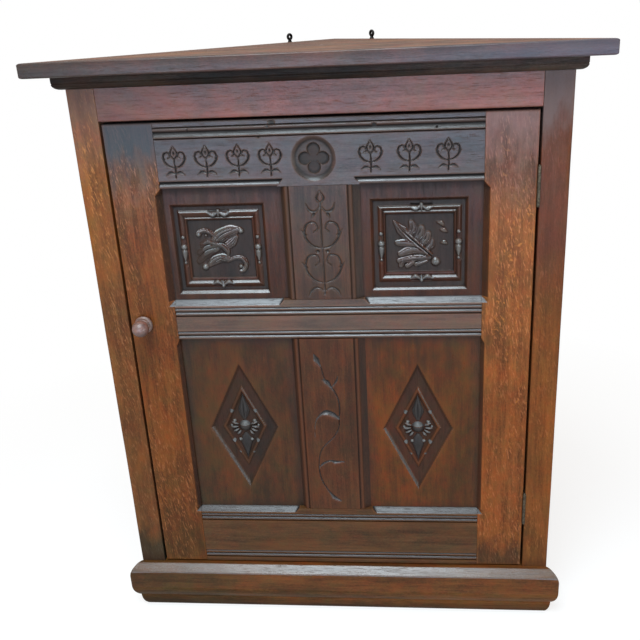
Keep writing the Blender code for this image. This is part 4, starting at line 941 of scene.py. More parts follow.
topRail = {
    "step": 0.0008, "bead": 0.0082, "nose": 0.0026, "beadDeep": 0.0046, "beadFrom": (0.054, 0.052),
    "slopeFrom": 1.2, "slopeBend": 1.25, "heart": 0.2, "bevelLit": 0.45,
    "roundelAt": (-0.0054, 0.0335), "roundel": 0.028, "bevel": 0.0048, "dish": 0.0040, "dishGrime": 0.3,
    "lobe": 0.0084, "lobeAt": 0.0112, "lobeDeep": 0.0026, "lobeWall": 0.0011, "lobeGrime": 0.35,
    "chipDeep": 0.0020, "headRound": 0.0012, "wear": (5, 0.0010),
}
# place on the door and size, in millimetres
chips = [
    (-55.1, 662.4, 5.0), (-61, 657.5, 2.6), (71.7, 656.4, 3.4), (-72.8, 645.5, 1.9),
    (148, 650.5, 1.7), (-162, 656.8, 1.5),
]
sprig = {
    "line": 1.12, "deep": 2.4, "scale": (1.06, 1.16),
    "at": (-183, -142, -101, -60, 66, 114, 162), "middle": 617,
}
# right half of a sprig, in millimetres from its middle: path, half widths
sprigLines = [
    ([(0, -17), (0.6, -8), (0, 4)], (0.9, 1.1, 0.8)),
    ([(0, 3), (4.2, 9), (0, 17.5)], (0.7, 1.1, 0.5)),
    ([(0, -6), (7, -4), (12.5, 2), (12, 9), (7, 10.5), (5, 6.5), (7.5, 4.5)], (0.8, 1.2, 1.1, 0.9, 0.7)),
    ([(0, -13), (6, -11), (12, -14.5)], (0.9, 1.8, 0.4)),
    ([(0, 7.5), (0, 12)], (0.4, 1.7, 0.4)),
    ([(12.5, 3), (15, 6)], (1.8, 0.3)),
]

foot, head = railFoot["top"], railHead["top"]
wide = head - 2 * rails["reed"] - rails["wideReed"]
xs = stations(-railEdge, railEdge, topRail["step"])
zs = stations(foot, head, topRail["step"])
gridX, gridZ = np.meshgrid(xs, zs)
depth = slopedReed(gridZ, wide, rails["wideReed"], rails["wideDeep"])
depth += reedDepth(gridZ, wide + rails["wideReed"], rails["reed"])
# bead along the lower edge: a rounded nose, a slope that looks up, then a sharp quirk
h = gridZ - foot
nose = roundOver(h, topRail["nose"])
slopeFrom = topRail["nose"] * topRail["slopeFrom"]
share = np.clip((h - slopeFrom) / (topRail["bead"] - slopeFrom), 0, 1)
slope = share ** topRail["slopeBend"] * topRail["beadDeep"]
quirk = np.clip(1 - (h - topRail["bead"]) / rails["quirk"], 0, 1) * topRail["beadDeep"]
bead = np.where(h < topRail["bead"], nose + slope, quirk)
slant = rails["slant"] * h
overPanels = (gridX < slant - topRail["beadFrom"][0]) | (gridX > topRail["beadFrom"][1] - slant)
depth = np.maximum(depth, bead * overPanels)
sloped = overPanels & (h > topRail["nose"]) & (h < topRail["bead"])
fromX, fromZ = gridX - topRail["roundelAt"][0], h - topRail["roundelAt"][1]
away = np.hypot(fromX, fromZ)
dish = topRail["dish"] * np.clip((topRail["roundel"] - away) / topRail["bevel"], 0, 1)
# quatrefoil: four circles and a small one in the middle, sunk to a flat floor
lobes = away + topRail["lobe"] * topRail["heart"]
for angle in np.radians((0, 90, 180, 270)):
    reach = np.hypot(fromX - topRail["lobeAt"] * math.cos(angle), fromZ - topRail["lobeAt"] * math.sin(angle))
    lobes = np.minimum(lobes, reach)
sunk = np.clip((topRail["lobe"] - lobes) / topRail["lobeWall"], 0, 1) * topRail["lobeDeep"]
depth = np.maximum(depth, dish + sunk)
cut = np.zeros(gridX.shape)
for at in sprig["at"]:
    for points, widths, factor in bothSides(sprigLines, 1.0):
        path = smoothPath(np.asarray(points, float) * sprig["scale"] + (at, sprig["middle"]), 40)
        cutGroove(cut, xs, zs, place(path), np.array(widths) * sprig["line"], sprig["deep"] * factor)
for x, z, size in chips:
    x, z = place((x, z))[0]
    off = (gridX - x) ** 2 + 2 * (gridZ - z) ** 2
    cut = np.maximum(cut, topRail["chipDeep"] * np.clip(1 - off / (size * mm) ** 2, 0, 1))
depth += cut + roundOver(head - gridZ, topRail["headRound"])
depth += roundOver(stileInner - np.abs(gridX), jointRound)
# polished: the cuts and the bead's slope, then the slopes of reed and roundel; the dish has its own finish
inDish = away < topRail["roundel"] - topRail["bevel"]
onBevel = (away < topRail["roundel"]) & (away > topRail["roundel"] - topRail["bevel"])
lowerBevel = onBevel & (fromZ < -topRail["bevelLit"] * away)
slopeFoot, slopeHead = wide + np.array(rails["widePolished"]) * rails["wideReed"]
reedSlope = (gridZ > slopeFoot) & (gridZ < slopeHead)
shining = (sloped | (cut > cutShows)) * 1
shining[lowerBevel | reedSlope] = 2
shining[inDish] = 3
# old wax in the dish and the lobes, and a painted shadow along the head, under the frieze
darkening = topRail["dishGrime"] * inDish + topRail["lobeGrime"] * (sunk > 0)
darkening = np.maximum(paintedGapShadow(head - gridZ, doorStile["darkening"]), darkening)
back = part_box("door_top_rail")[1].y - faceY
mesh = boardMesh("topRail", xs, zs, depth, back, wear=topRail["wear"], grime=darkening, second=shining)
railFinish = [oak["topRail"], oak["sills"], oak["lowSills"], oak["roundel"]]
addPiece("top_rail", mesh, railFinish, "door", "carved_oak", "door_top_rail")
print("top rail made")


# muntins: bead and splay on both edges, an incised plant on the upper one, a trailing vine on the lower one

muntin = {
    "step": 0.0008, "leftFlat": 0.0390, "rightFlat": 0.0345, "quirk": 0.0015, "quirkDeep": 0.0020,
    "bead": 0.0052, "beadRise": 0.0016, "secondQuirk": 0.0008, "edgeDeep": 0.0075, "edgeDarkening": 0.6,
    "deep": 2.0, "line": 1.4, "wear": (5, 0.0011),
}
# in millimetres on the door: path, half widths; the vine also says how much deeper than the rest it is cut
plantLines = [
    ([(0, 437), (0.5, 470), (-0.4, 520), (0, 560)], (1.3, 0.9, 0.9, 1.1)),
    ([(0, 452), (14, 458), (23, 472), (20, 488), (9, 491), (5, 482), (10, 477)], (0.7, 1.3, 1.2, 0.9, 0.7)),
    ([(0, 500), (13, 504), (22, 516), (20, 531), (10, 535), (5, 527), (10, 522)], (0.7, 1.3, 1.2, 0.9, 0.7)),
    ([(0, 556), (7, 549), (15, 551), (19, 560)], (0.7, 1.2, 1.5, 0.4)),
    ([(0, 441), (9, 446), (17, 442), (21, 434)], (0.7, 1.2, 1.6, 0.4)),
    ([(0, 560), (4.5, 566), (0, 576)], (0.7, 1.3, 0.5)),
]
plantNotches = [
    ([(23, 474), (28, 482)], (2.0, 0.3)),
    ([(22, 518), (27, 526)], (2.0, 0.3)),
    ([(9, 546), (12, 540)], (1.8, 0.3)),
    ([(4, 496), (9, 496)], (0.4, 1.8, 0.4)),
]
vineLines = [
    ([(-21.1, 351.8), (-17, 341), (-11.5, 330)], (0.3, 3.4, 0.8), 2.0),
    (
        [(-11.5, 330), (-8, 313.7), (-4.2, 304.5), (3.7, 295.2), (10, 281), (11.4, 263.7), (10, 249.4)],
        (0.7, 0.8, 0.9, 0.9, 0.8), 1.0,
    ),
    ([(-12.3, 311.5), (-4, 306.5), (4.2, 293)], (0.3, 3.0, 0.6), 1.9),
    (
        [(10, 249.4), (1.7, 256), (-8, 259.5), (-17.5, 254.2), (-23.9, 243), (-25.9, 220.3)],
        (1.5, 3.2, 3.2, 1.2, 0.8, 0.7), 1.8,
    ),
    (
        [(10, 249.4), (9.4, 236.6), (1.5, 220.3), (-15.3, 202.2), (-21.3, 185.6), (-22.4, 165.4),
         (-19.7, 148.4), (-11.7, 131.3), (-2, 117.5)],
        (0.7, 0.6, 0.6, 0.7, 0.9, 0.9, 0.9), 1.0,
    ),
    ([(-11.7, 131.3), (-2.5, 118), (6.5, 112.5)], (0.6, 2.6, 1.2), 1.7),
    (
        [(-21.4, 170.5), (-15.3, 176.4), (-6.3, 180.6), (0.9, 178.7), (15, 179.5)],
        (0.7, 1.6, 1.0, 2.2, 0.6), 1.5,
    ),
    ([(3, 300), (9, 309), (12, 318)], (0.6, 1.4, 0.3), 1.0),
]


def openingHeights(node):
    # between the lower rails or between the upper ones
    if "lower" in node:
        return railHead["bottom"], railFoot["lock"]
    return railHead["lock"], railFoot["top"]


def muntinMesh(node, lines):
    foot, head = openingHeights(node)
    xs = stations(-muntinHalf, muntinHalf, muntin["step"])
    zs = stations(foot + jointGap, head - jointGap, muntin["step"])
    gridX, gridZ = np.meshgrid(xs, zs)
    # going out from the flat: quirk, bead, second quirk, then a splay down to the panel
    flat = np.where(gridX < 0, muntin["leftFlat"], muntin["rightFlat"])
    beyond = np.abs(gridX) - flat
    q, b, second = muntin["quirk"], muntin["bead"], muntin["secondQuirk"]
    quirkDeep = muntin["quirkDeep"]
    places = (0, q, q + b, q + b + second)
    base = np.interp(beyond, places, (0, quirkDeep, quirkDeep, quirkDeep + second))
    u = (beyond - q - b / 2) / (b / 2)
    depth = base - muntin["beadRise"] * np.sqrt(np.clip(1 - u ** 2, 0, 1))
    splay = np.clip((beyond - places[-1]) / (muntinHalf - flat - places[-1]), 0, 1)
    depth += splay * (muntin["edgeDeep"] - quirkDeep)
    cut = np.zeros(gridX.shape)
    for points, widths, factor in lines:
        path = place(smoothPath(points, 60))
        cutGroove(cut, xs, zs, path, np.array(widths) * muntin["line"], muntin["deep"] * factor)
    depth += cut + roundOver(gridZ - zs[0], jointRound) + roundOver(zs[-1] - gridZ, jointRound)
    grime = muntin["edgeDarkening"] * (beyond > 0)
    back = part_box(node)[1].y - faceY
    shining = cut > cutShows
    return boardMesh(node, xs, zs, depth, back, wear=muntin["wear"], grime=grime, second=shining)


plantCuts = bothSides(plantLines, 1.0) + bothSides(plantNotches, 1.5)
for word, carving, lines in (("upper", "plant", plantCuts), ("lower", "vine", vineLines)):
    node = f"{word}_muntin"
    mesh = muntinMesh(node, lines)
    muntinFinish = [oak[f"{word}Muntin"], oak["carvings"]]
    addPiece(f"muntin_with_{carving}", mesh, muntinFinish, "door", "carved_oak", node)
print("muntins made")


# upper panels: border, bevel, half-round bead with bobbins, and a carved leaf in the sunk field

upperPanel = {
    "step": 0.00054, "face": 0.008, "bevelDeep": 0.0047, "innerDrop": 0.0004, "fieldDeep": 0.0074,
    "beadRise": 0.0028, "headRidge": 0.35, "footRidge": 0.60, "filletRise": 0.0013, "footFillet": 0.25,
    "footTurn": 1.85, "footSlope": 0.76, "ornamentSeat": 0.0002,
    "leafCrown": 0.5, "ballCrown": 1.0, "leafWide": 1.12, "leafHigh": 0.95,
    "leafEdge": 0.0012, "ballEdge": 0.001,
    "veinFrom": 3.4, "veinAt": 0.45, "vein": (0.3, 0.6, 0.3), "veinDeep": 0.9, "litFrom": 0.42, "litTo": 2.2,
    "edgeDarkening": 0.75, "sideDark": 0.0045, "headShadow": 0.013, "footDark": 0.003,
    "groundGrime": 0.55, "fieldGrime": 0.6, "cutGrime": 0.9, "cutFull": 0.0007, "wear": (6, 0.0018),
}
# ornaments on the bead, in millimetres from their middles
# neck: the bead is cut down along a line, with half width and depth
# raised: knots of x, z, radius and height along a stroke, points made of it, crown
bobbin = {
    "neck": ([(0, 13), (0, -22)], 4.6, 2.2),
    "raised": [
        ([(0, 13.5, 2.8, 3.2)], 1, 0.5),
        ([(0, 0, 4.8, 5.0)], 1, 0.7),
        ([(0, -6, 4.6, 4.4), (0, -11, 4.0, 4.0), (0, -18, 1.8, 2.6)], 16, 0.8),
        ([(0, -21.5, 2.2, 3.0)], 1, 0.5),
    ],
}
bow = {
    "neck": ([(3, 3), (13, 3.4)], 1.6, 1.8),
    "raised": [
        ([(2, 1, 2.2, 3.4), (8, -2.2, 3.0, 4.4), (15, 1, 0.9, 2.6)], 18, 0.5),
        ([(0, 3.6, 2.6, 4.6), (0, -3.4, 1.2, 4.0)], 8, 0.5),
    ],
}
# for each side the ornament, and how it is flipped: a bow is made in two halves
ornaments = {
    "left": (bobbin, [(1, 1)]),
    "right": (bobbin, [(1, 1)]),
    "head": (bow, [(-1, 1), (1, 1)]),
    "foot": (bow, [(-1, -1), (1, -1)]),
}
# steps: distances in from the edges at which the border, bevel, ground, bead and inner fillet end
# at: the ornaments' middles; leaf: strokes of such knots; balls: single ones; cuts: path, half widths, depth
leftCarving = {
    "steps": {
        "left": (8.5, 12, 16.7, 24.5, 27.2), "right": (24.5, 28, 32.4, 40.0, 42.5),
        "foot": (8.6, 13.4, 17.2, 26.1, 30.0), "head": (23.5, 27.5, 32.2, 41.7, 45.3),
    },
    "at": {
        "left": (-186.8, 502.2), "right": (-86.7, 500.9), "head": (-136, 547.4), "foot": (-138.3, 451.0),
    },
    "leaf": [
        [(-146.9, 506, 5.5, 2.8), (-136.7, 516, 9.0, 4.1),
         (-122.5, 522.5, 8.0, 3.8), (-110, 524.5, 3.0, 2.6)],
        [(-143, 512, 2.4, 2.6), (-147.5, 519, 2.8, 3.4), (-156, 523.6, 2.9, 3.6),
         (-163.5, 522.4, 3.0, 3.8), (-166.2, 518.6, 3.2, 4.2)],
        [(-144, 505, 3.8, 1.8), (-153, 508, 5.2, 1.8), (-163, 505, 2.8, 1.2)],
        [(-144, 502, 4.4, 1.7), (-156, 500, 6.4, 1.5), (-167.5, 493, 3.4, 1.1)],
        [(-143, 498.5, 4.4, 1.6), (-157, 493.5, 6.8, 1.4), (-169, 481, 3.6, 1.0)],
        [(-146.9, 506, 3.6, 3.0), (-136, 503, 4.0, 4.1), (-129.5, 496, 3.6, 3.6), (-129, 490, 2.2, 2.0)],
        [(-132, 500, 5.0, 2.8), (-122, 507, 5.6, 3.3), (-115.7, 515, 3.0, 2.2)],
        [(-156.5, 476, 3.4, 1.8), (-146, 483, 6.2, 3.2), (-136, 486, 6.0, 3.7), (-128, 483.4, 3.6, 2.8)],
        [(-130, 481, 2.2, 2.2), (-118, 485.8, 3.0, 3.4), (-109.5, 484.3, 3.2, 3.8),
         (-105.4, 477, 3.0, 3.6), (-108.5, 469, 2.8, 3.4), (-113.2, 466.6, 2.4, 3.0)],
    ],
    "balls": [
        (-108.8, 522.4, 4.0, 4.6), (-156.0, 517.2, 2.0, 2.8), (-166.0, 518.4, 3.6, 4.4),
        (-112.6, 473.6, 3.2, 4.0), (-161.5, 473.4, 4.6, 4.4),
    ],
    "cuts": [
        ([(-147, 507), (-134, 518.5), (-112, 527)], (0.5, 1.0, 0.5), 1.2),
        ([(-141, 505), (-128, 513.5), (-112, 520)], (0.5, 0.9, 0.4), 1.1),
        ([(-145, 503.4), (-155, 504.2), (-166, 499)], (0.5, 1.1, 0.6), 1.4),
        ([(-144, 500.3), (-157, 497), (-169, 487.5)], (0.5, 1.1, 0.6), 1.4),
        ([(-145, 509.5), (-137, 507.3), (-128, 503)], (0.5, 1.0, 0.6), 1.4),
        ([(-152, 477), (-142, 484), (-131, 487.2)], (0.4, 0.9, 0.4), 1.1),
        ([(-149, 474), (-139, 480), (-128, 481)], (0.4, 0.9, 0.4), 1.0),
        ([(-126, 503.5), (-120, 508.5), (-116.5, 514)], (0.4, 0.9, 0.4), 1.0),
    ],
}
rightCarving = {
    "steps": {
        "left": (12.8, 16.8, 22.3, 29.3, 31.7), "right": (19.8, 23.3, 27.5, 34.7, 37.1),
        "foot": (9.8, 13.6, 20.0, 29.1, 33.0), "head": (22.1, 26, 32.2, 39.0, 43.2),
    },
    "at": {
        "left": (76.0, 501.2), "right": (176.2, 502.6), "head": (128.5, 549.4), "foot": (128.0, 454.4),
    },
    "leaf": [
        [(141.6, 485.6, 1.5, 4.6), (126.5, 499.3, 1.5, 4.8),
         (114.5, 510.2, 1.4, 4.6), (101, 523.5, 0.9, 3.4)],
        [(138.0, 483.4, 1.5, 4.6), (122.0, 497.2, 1.5, 4.8),
         (109.8, 508.6, 1.4, 4.6), (95.5, 525.0, 0.9, 3.4)],
        [(112, 508, 5.5, 2.8), (103, 518, 6.4, 3.6), (93.0, 530.4, 1.6, 1.8)],
        [(127, 493.5, 4.0, 3.2), (112.1, 500.6, 6.2, 4.0), (98, 501.6, 4.2, 3.0)],
        [(133.5, 487, 3.6, 3.2), (121.7, 491.6, 5.6, 4.1),
         (112.3, 491.2, 6.0, 3.9), (101.5, 486.6, 4.4, 3.0)],
        [(138.2, 481.0, 3.0, 3.2), (126.4, 481.0, 4.2, 3.9),
         (112.1, 479.8, 4.8, 3.6), (99.5, 477.0, 3.8, 2.8)],
        [(103, 477, 3.8, 3.2), (101, 470.5, 3.2, 2.6)],
        [(116.5, 475, 3.4, 3.4), (109.5, 469.5, 3.2, 2.6)],
        [(135, 476.5, 2.4, 3.4), (121.5, 471.5, 3.2, 2.8)],
        [(112.6, 513, 4.4, 1.6), (117.8, 520, 6.2, 1.7), (115.5, 528.4, 4.0, 1.9)],
        [(120.7, 505.3, 4.4, 1.6), (127.0, 512.6, 6.4, 1.8), (128.0, 521.4, 4.2, 2.1)],
        [(127.7, 499.1, 4.2, 1.6), (134.4, 505.6, 5.8, 1.8), (137.0, 513.6, 3.8, 2.0)],
        [(134.7, 491.6, 3.6, 1.5), (140.3, 497.4, 4.8, 1.6), (142.3, 504.2, 3.0, 1.5)],
        [(149, 528, 1.6, 1.2), (153.5, 527, 3.0, 2.3), (157, 523, 1.6, 1.2)],
        [(153, 518.4, 1.6, 1.2), (157, 517.4, 3.0, 2.3), (161, 515, 1.6, 1.2)],
        [(154, 500.6, 1.6, 1.2), (157.6, 501.2, 3.0, 2.3), (161, 499, 1.6, 1.2)],
    ],
    "balls": [(146.5, 475.2, 6.0, 4.4)],
    "cuts": [
        ([(140.6, 483.4), (124.2, 498.2), (112, 509.4), (98, 524.6)], (0.5, 0.8, 0.8, 0.4), 1.8),
        ([(132, 488.5), (118, 496.0), (100, 495.4)], (0.4, 0.9, 0.6), 1.6),
        ([(137, 484), (122, 485.8), (102, 482.0)], (0.4, 0.9, 0.6), 1.6),
        ([(138, 479.6), (122, 479.2), (101, 476)], (0.4, 0.9, 0.5), 1.1),
        ([(113.4, 514), (116.4, 521), (116, 528)], (0.4, 0.9, 0.4), 1.0),
        ([(121.4, 506), (125.6, 514.5), (128.6, 522)], (0.4, 0.9, 0.4), 1.0),
        ([(128.4, 500), (133.4, 507), (135.6, 514)], (0.4, 0.9, 0.4), 1.0),
        ([(104, 512.5), (98.5, 520), (94.8, 527)], (0.4, 0.8, 0.3), 0.9),
    ],
}


def panelOpening(node):
    # left, right, foot and head of what is made of a panel
    side = 1 if "right" in node else -1
    left, right = sorted((side * (muntinHalf - panelTuck), side * (stileInner + panelTuck)))
    foot, head = openingHeights(node)
    return left, right, foot - panelTuck, head + panelTuck


def beside(path, offset):
    # a line at a changing distance from a path
    along = np.gradient(path, axis=0)
    along /= np.linalg.norm(along, axis=1)[:, None]
    away = spread(offset, len(path))
    return path + away[:, None] * np.stack([-along[:, 1], along[:, 0]], axis=-1)


def beadOrnaments(xs, zs, at):
    # a thin neck with a ring, a ball, a drop and a small ball at the sides, bows at head and foot
    neck, rise = np.zeros((2, len(zs), len(xs)))
    for name, (ornament, flips) in ornaments.items():
        line, halfWidth, deep = ornament["neck"]
        for flip in flips:
            cutGroove(neck, xs, zs, place(np.array(line) * flip + at[name]), halfWidth, deep)
            for stroke, count, crown in ornament["raised"]:
                knots = np.array(stroke)
                path = place(smoothPath(knots[:, :2] * flip + at[name], count))
                raiseAlong(rise, xs, zs, path, knots[:, 2], knots[:, 3], crown)
    return neck, rise


def carvedLeaf(xs, zs, carving):
    # heights of the leaf with its balls, heights of the balls alone, depths of the cuts
    leaf, balls, cut = np.zeros((3, len(zs), len(xs)))
    wide, high = upperPanel["leafWide"], upperPanel["leafHigh"]
    for x, z, radius, height in carving["balls"]:
        for heights in (leaf, balls):
            raiseAlong(heights, xs, zs, place((x, z)), wide * radius, high * height, upperPanel["ballCrown"])
    for stroke in carving["leaf"]:
        knots = np.array(stroke)
        path, radius = smoothPath(knots[:, :2], 40), wide * knots[:, 2]
        raiseAlong(leaf, xs, zs, place(path), radius, high * knots[:, 3], upperPanel["leafCrown"])
        # two veins in each broad lobe
        for hand in (-1, 1) if radius.max() > upperPanel["veinFrom"] else ():
            line = place(beside(path, hand * upperPanel["veinAt"] * radius))
            cutGroove(cut, xs, zs, line, upperPanel["vein"], upperPanel["veinDeep"])
    for points, widths, deep in carving["cuts"]:
        cutGroove(cut, xs, zs, place(smoothPath(points, 40)), widths, deep)
    return leaf, balls, cut


def upperPanelMesh(node, carving):
    left, right, foot, head = panelOpening(node)
    steps = carving["steps"]
    xs = stations(left, right, upperPanel["step"])
    zs = stations(foot, head, upperPanel["step"])
    gridX, gridZ = np.meshgrid(xs, zs)
    # each side's own steps become one measure, 1 at the end of the border and 5 at the field
    # the nearest side wins
    reach = {"left": gridX - left, "right": right - gridX, "foot": gridZ - foot, "head": head - gridZ}
    measures = {}
    for name, distance in reach.items():
        places = np.array([0, *steps[name], steps[name][-1] + 100]) * mm
        measures[name] = np.interp(distance, places, (0, 1, 2, 3, 4, 5, 9))
    level = np.minimum(measures["foot"], measures["head"])
    measure = np.minimum(level, np.minimum(measures["left"], measures["right"]))
    ground = upperPanel["bevelDeep"]
    inner = ground + upperPanel["innerDrop"]
    depths = (0, 0, ground, ground, inner, inner, upperPanel["fieldDeep"])
    depth = np.interp(measure, (0, 1, 2, 3, 4, 5, 5.05), depths)
    # the bevel at the foot looks up at a lower slope, then drops to the ground
    turn = upperPanel["footTurn"]
    bend = upperPanel["footSlope"] * (turn - 1) * (steps["foot"][1] - steps["foot"][0]) * mm
    footBevel = np.interp(measure, (1, turn, 2), (0, bend, ground))
    # the bead's ridge lies towards the upper side, so that a narrow slope looks up
    nearFoot, nearHead = measure == measures["foot"], measure == measures["head"]
    depth = np.where(nearFoot & (measure < 2), footBevel, depth)
    ridge = np.where(nearHead, upperPanel["headRidge"], np.where(nearFoot, upperPanel["footRidge"], 0.5))
    across = measure - 3
    u = (across - ridge) / np.where(across < ridge, ridge, 1 - ridge)
    depth -= upperPanel["beadRise"] * roofRise(u)
    fillet = upperPanel["filletRise"] * roofRise((measure - 4.5) * 2)
    depth -= fillet * np.where(nearFoot, upperPanel["footFillet"], 1)
    neck, rise = beadOrnaments(xs, zs, carving["at"])
    depth = depth + neck
    seated = np.minimum(depth, ground - rise + upperPanel["ornamentSeat"])
    depth = np.where(rise > 0, seated, depth)
    leaf, balls, cut = carvedLeaf(xs, zs, carving)
    depth -= np.maximum(leaf - cut * (leaf > 0), 0)
    looksUp = nearHead & (((across > 0) & (across < ridge)) | ((across > 1) & (across < 1.5)))
    looksUp |= nearFoot & (((across > ridge) & (across < 1)) | ((measure > 1) & (measure < turn)))
    # slopes that look up at the skylight are polished; on the leaf they also get a pale colour, a painted
    # highlight; the rest of the carving is dull
    slope = np.gradient(depth, zs, axis=0)
    lit = (slope > upperPanel["litFrom"]) & (slope < upperPanel["litTo"])
    shining = np.where(leaf > upperPanel["leafEdge"], 2, 0)
    shining[(shining == 2) & lit] = 3
    shining[(rise > 0) | (balls > upperPanel["ballEdge"]) | looksUp] = 1
    onGround, inField = (across > -1) & (across < 0), across > 2
    shining[(shining == 0) & (onGround | inField)] = 4
    # painted shadow under the rail; darker along the other edges; old wax beside the bead and in the field
    fromSides = np.minimum(reach["left"], reach["right"]) / upperPanel["sideDark"]
    fromEnds = np.minimum(reach["head"] / upperPanel["headShadow"], reach["foot"] / upperPanel["footDark"])
    grime = upperPanel["edgeDarkening"] * np.clip(1 - np.minimum(fromSides, fromEnds), 0, 1)
    grime = grime + upperPanel["groundGrime"] * onGround
    grime = np.maximum(grime, upperPanel["fieldGrime"] * (inField & (leaf < upperPanel["leafEdge"])))
    inCuts = np.clip(cut / upperPanel["cutFull"], 0, 1) * (leaf > 0)
    grime = np.maximum(grime, upperPanel["cutGrime"] * inCuts)
    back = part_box(node)[1].y - faceY
    depth += upperPanel["face"]
    return boardMesh(node, xs, zs, depth, back, wear=upperPanel["wear"], grime=grime, second=shining)


carvedFinish = [oak[name] for name in ("upperPanels", "carvings", "leaves", "paintedLeafHighlights", "panelGrounds")]
for word, carving in (("left", leftCarving), ("right", rightCarving)):
    node = f"upper_{word}_panel"
    mesh = upperPanelMesh(node, carving)
    addPiece(f"upper_{word}_carving", mesh, carvedFinish, "door", "carved_oak", node)
print("upper panels made")


# lower panels: a sunk lozenge with a standing rim and a rosette

lozenge = {
    "step": 0.0016, "fineStep": 0.0006, "fineReach": (0.026, 0.052), "face": 0.008,
    "halfWidth": 0.0500, "halfHeight": 0.1022,
    "bevel": 0.0046, "deep": 0.0036, "rimAt": 0.0184, "rimHalf": 0.0023, "rimRise": 0.0018,
    "wall": (0.0202, 0.0230), "floorDeep": 0.0060, "boss": 8.8, "bossHigh": 6.2, "bossLitSlope": 0.3,
    "pearlSeat": 0.0012, "pearlHigh": 0.85, "bandGrime": 1.0, "bandFrom": 0.001, "floorGrime": 0.9,
    "edgeDarkening": 0.6, "edgeReach": 0.016, "edgeUneven": 0.5, "edgeLean": 0.7, "edgeWave": 0.11,
    "wear": (6, 0.0022),
}
# in millimetres from the boss; cuts, pearls and fan are given for one side of the middle
petals = [
    [(0, 13.5, 3.4, 2.2), (0, 26, 8.4, 3.2), (0, 50, 0.8, 1.6)],
    [(0, -13.5, 3.4, 2.2), (0, -25, 8.8, 3.4), (0, -52, 0.8, 1.6)],
]
petalCuts = [
    ([(0, 12), (0, 44)], (0.6, 1.2, 0.4), 1.4),
    ([(2.8, 13), (5.6, 27), (1.7, 44)], (0.4, 0.9, 0.4), 1.0),
]
pearls = [
    (17, 25.5, 3.2), (14.6, 8.6, 3.0), (8.4, -22.0, 2.8),
    (17.2, -22.6, 3.1), (10.4, -42, 2.0), (19.6, 1.2, 2.1),
]
fan = {
    "turns": (-48, -26, -4, 20), "from": 11.0, "to": 20.0, "shorter": 3.5,
    "radius": (1.5, 2.3, 1.5), "height": (3.4, 4.8, 3.2),
}


def rosetteStations(low, high, centre, reach):
    # finer round the rosette than over the rest of the panel
    fine = np.arange(centre - reach, centre + reach, lozenge["fineStep"])
    return np.unique(np.round(np.concatenate([stations(low, high, lozenge["step"]), fine]), 6))


